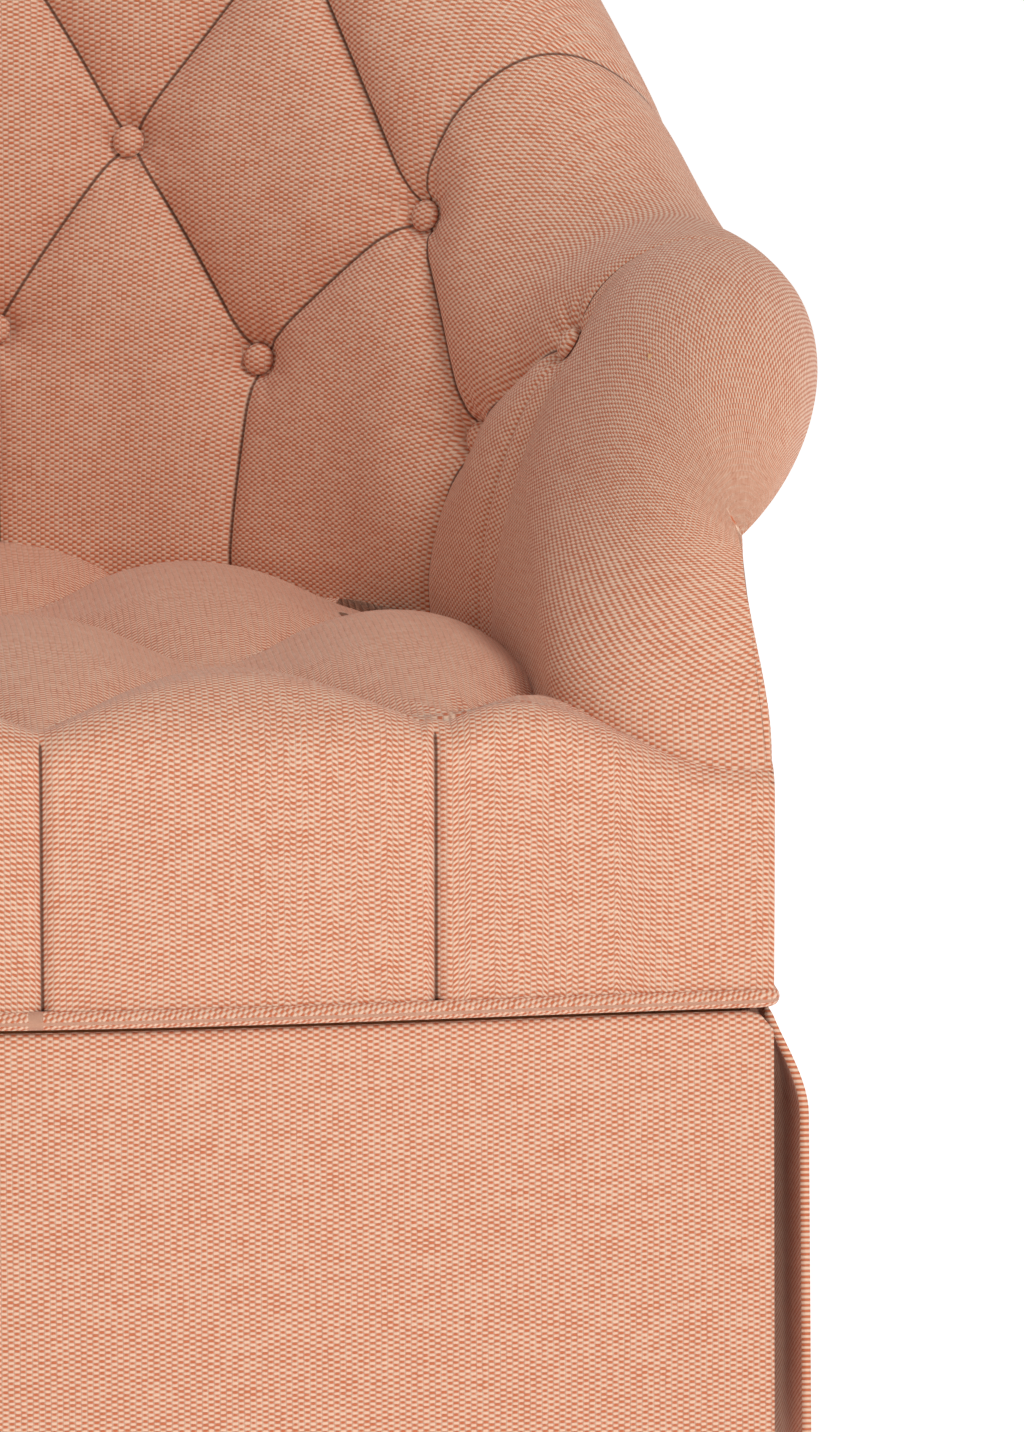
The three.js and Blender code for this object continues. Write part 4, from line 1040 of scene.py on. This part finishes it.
def hung_sheet(name, line, outward, reach, z, thickness):
    """A sheet whose front face is line + outward * reach(z), a wall thick, with a soft hem. line and
    outward are (station, 2), reach and z are (station, row)."""
    rows = z.shape[1]
    t = np.linspace(0, 1, rows)[None]
    soft = 1 - np.clip(1 - np.minimum(t, 1 - t) * 40, 0, 1) ** 2
    half = thickness / 2 * np.sqrt(np.clip(soft, 0.05, 1))
    faces_reach = np.concatenate([reach - thickness / 2 + half, (reach - thickness / 2 - half)[:, ::-1]], 1)
    z_both = np.concatenate([z, z[:, ::-1]], 1)
    xy = line[:, None] + outward[:, None] * faces_reach[..., None]
    rings = np.concatenate([xy + (0, BARREL_Y), z_both[..., None]], -1)
    run = np.cumsum(np.linalg.norm(np.diff(line, axis=0, prepend=line[:1]), axis=1))[:, None]
    uv = np.stack([run + 0 * z_both, z_both], -1)
    span = run[-1, 0]
    # Painted shade: a line 38 mm above the hem is darkened part way towards the fold shade.
    hem_shade_line = np.abs(z_both - HEM - 38) + 0.9
    obj = closed_sweep(name, rings, uv, np.minimum(hem_shade_line, 99.0))
    fall = np.hypot(np.diff(z, axis=1), np.diff(reach + 0 * z, axis=1)).sum(1).mean()
    width = np.linalg.norm(np.diff(rings[:, rows // 2, :2], axis=0), axis=1).sum()
    print(name, "flat", round(width), "x", round(fall), "mm, top line", round(span))
    return obj, (width * MM, fall * MM)


def front_skirt():
    """The flat front panel, from corner to corner."""
    x = np.linspace(-HALF_WIDTH, HALF_WIDTH, 121)
    line = np.stack([x, CORNER_Y - bow_at(x)], 1)
    outward = np.broadcast_to([0.0, -1.0], line.shape)
    t = np.linspace(0, 1, 60)[None]
    corner = np.clip((np.abs(x) - HALF_WIDTH + 14) / 14, 0, 1)[:, None]
    z = SKIRT_TOP - 11 * corner**2 + (HEM - SKIRT_TOP + 11 * corner**2) * t
    drape = 0.9 * np.sin(x[:, None] * 0.021 + 0.7) * t
    return hung_sheet("skirt_front_panel", line, outward, FRONT_FLARE * t + drape, z, SKIRT_THICKNESS)


def side_reach(t, start_bulge):
    """A quick swell under the welt, then a nearly straight fall."""
    return SIDE_FLARE * (0.86 * smooth(t / 0.22) ** 0.7 + 0.14 * t) * start_bulge


def barrel_line(start, end, count):
    """Points on the outside of the box between two places along the barrel, and their outward
    directions."""
    along = np.linspace(start, end, count)
    here = barrel_points(along, np.full(count, SHELL), np.full(count, HEM))[:, :2] - (0, BARREL_Y)
    there = barrel_points(along, np.full(count, SHELL + 1), np.full(count, HEM))[:, :2] - (0, BARREL_Y)
    return here, there - here


def barrel_skirt(name, start, end):
    """A side or back panel, standing out a little and hanging."""
    count = int(abs(end - start) / 7) + 2
    line, outward = barrel_line(start, end, count)
    t = np.linspace(0, 1, 60)[None]
    z = SKIRT_TOP + (HEM - SKIRT_TOP) * t + 0 * line[:, :1]
    share = np.linspace(0, 1, count)[:, None]
    drape = 1.0 * np.sin(share * 19) * t
    return hung_sheet(name, line, outward, side_reach(t, 1.0) + drape, z, SKIRT_THICKNESS)


def underlay(name, line, outward):
    """The cloth behind a kick pleat, hung well inside the panels."""
    t = np.linspace(0, 1, 30)[None]
    z = SKIRT_TOP - 2 + (HEM + 3 - SKIRT_TOP + 2) * t + 0 * line[:, :1]
    return hung_sheet(name, line, outward, -9.0 + 6.0 * t + 0 * z, z, 3.0)


def hang(made, rests_on, *nodes):
    """Dresses a hung sheet."""
    obj, (width, length) = made
    dress(obj, *nodes)


hang(front_skirt(), "seat_rail_front", "skirt_front")
hang(barrel_skirt("skirt_back_panel", -REAR_PLEAT + 3, REAR_PLEAT - 3), "seat_rail_rear", "skirt_back")
for name, side in (("left", -1), ("right", 1)):
    made = barrel_skirt("skirt_side_panel_" + name, side * (REAR_PLEAT + 3), side * (ARM_END - 9))
    hang(made, "seat_rail_" + name, "skirt_" + name)
    rear_line = barrel_line(side * (REAR_PLEAT - 50), side * (REAR_PLEAT + 50), 16)
    hang(underlay("kick_pleat_rear_" + name, *rear_line), "seat_rail_rear")
    corner_x = HALF_WIDTH - np.array([90, 40, 14, 4, 0, 0])
    corner_y = CORNER_Y - bow_at(corner_x) + np.array([0, 0, 2, 10, 30, 96])
    corner = np.stack([side * corner_x, corner_y], 1)
    out_x = side * np.array([0, 0.1, 0.4, 0.8, 1, 1.0])
    out_y = -np.array([1, 0.99, 0.9, 0.6, 0, 0])
    hang(underlay("kick_pleat_front_" + name, corner, np.stack([out_x, out_y], 1)), "seat_rail_front")

# %% [markdown]
# ## Hidden pieces
# What the upholstery hides still has its own finish, for the day the chair is tipped over: planed
# beech, black powder coat, bright zinc, drawn spring wire, moulded nylon and black dust cloth.

# %% Finishes of the hidden pieces
def planed_beech():
    """Beech: pale, with short flecks and a faint ring pattern drawn along the grain."""
    material, tree, shader = start_material("planed_beech", "#C79B6B", 0.6)
    place = add_node(tree, "ShaderNodeTexCoord").outputs["Object"]
    drawn = stretched(tree, place, (14.0, 90.0, 160.0))
    both = maths(tree, "ADD", noise(tree, drawn, 1.0, 6.0), noise(tree, drawn, 9.0, 2.0))
    share = ranged(tree, both, (0.7, 1.3), (0.0, 1.0))
    tree.links.new(mixed(tree, share, linear("#B98A58"), linear("#D8B083")), shader.inputs["Base Color"])
    set_bump(tree, shader, share, 0.25, 0.4)
    return material


def speckled(name, base, second, roughness, metallic, grit_mm, bump_mm):
    """A surface with a fine grit: its colour moves between two tones, its roughness with it."""
    material, tree, shader = start_material(name, base, roughness, metallic)
    place = add_node(tree, "ShaderNodeTexCoord").outputs["Object"]
    grit = noise(tree, place, 1000.0 / grit_mm, 3.0)
    tree.links.new(mixed(tree, grit, linear(base), linear(second)), shader.inputs["Base Color"])
    rough = ranged(tree, grit, (0.3, 0.7), (roughness - 0.08, roughness + 0.08))
    tree.links.new(rough, shader.inputs["Roughness"])
    set_bump(tree, shader, grit, 0.4, bump_mm)
    return material


BEECH = planed_beech()
POWDER_COAT = speckled("black_powder_coat", "#1E1F21", "#34363A", 0.5, 0.0, 2.0, 0.15)
ZINC = speckled("bright_zinc_plate", "#A9ABAD", "#C6C4B4", 0.32, 1.0, 6.0, 0.05)
WIRE = speckled("drawn_spring_wire", "#4B4D50", "#66686B", 0.4, 1.0, 3.0, 0.05)
NYLON = speckled("moulded_nylon", "#1B1B1C", "#262627", 0.55, 0.0, 1.5, 0.08)
DUST_CLOTH = speckled("spunbond_dust_cloth", "#19191B", "#2C2C2F", 0.95, 0.0, 1.0, 0.2)
FINISHES = (
    (("base_", "swivel_lower", "swivel_upper", "carriage_", "glide_hanger"), POWDER_COAT),
    (("swing_link", "upper_pin", "lower_pin", "swivel_bearing"), ZINC),
    (("seat_spring",), WIRE),
    (("floor_glide",), NYLON),
    (("dust_cover",), DUST_CLOTH),
    (("seat_rail", "corner_block", "back_", "arm_", "mount_cleat"), BEECH),
)

for node_name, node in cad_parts.items():
    for starts, finish in FINISHES:
        if node_name.startswith(starts) and not node.hide_render:
            node.data.materials.clear()
            node.data.materials.append(finish)
            break
print("nodes shown", sum(not o.hide_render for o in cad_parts.values()))

# %% [markdown]
# ## Floor and light
# A white floor with a slight glow of its own stands for a lit studio sweep. The surround is dim, and
# one large soft light stands in front on the chair's left, above the arms, so that the inside of the
# arm beside it falls into shade.

# %% Floor
bpy.ops.mesh.primitive_plane_add(size=60, location=(0, 10, 0))
floor = bpy.context.object
floor.name = "floor"
pale, tree, shader = start_material("pale_floor", "#FFFFFF", 0.9)
shader.inputs["Specular IOR Level"].default_value = 0.0
shader.inputs["Emission Color"].default_value = (1.0, 1.0, 1.0, 1.0)
shader.inputs["Emission Strength"].default_value = 0.55
floor.data.materials.append(pale)

# %% Light
bpy.context.scene.view_settings.view_transform = "Standard"
world = bpy.data.worlds.new("studio")
world.use_nodes = True
surround = world.node_tree.nodes["Background"]
surround.inputs["Color"].default_value = (1.0, 1.0, 1.0, 1.0)
surround.inputs["Strength"].default_value = 0.45
bpy.context.scene.world = world


def soft_light(name, place, target, size, watts):
    """A square area light aimed at a point."""
    data = bpy.data.lights.new(name, "AREA")
    data.size = size
    data.energy = watts
    obj = bpy.data.objects.new(name, data)
    obj.location = place
    obj.rotation_euler = (Vector(target) - Vector(place)).to_track_quat("-Z", "Y").to_euler()
    bpy.context.scene.collection.objects.link(obj)


soft_light("key", (2.2, -3.6, 4.2), (0.0, 0.0, 0.6), 1.8, 125)
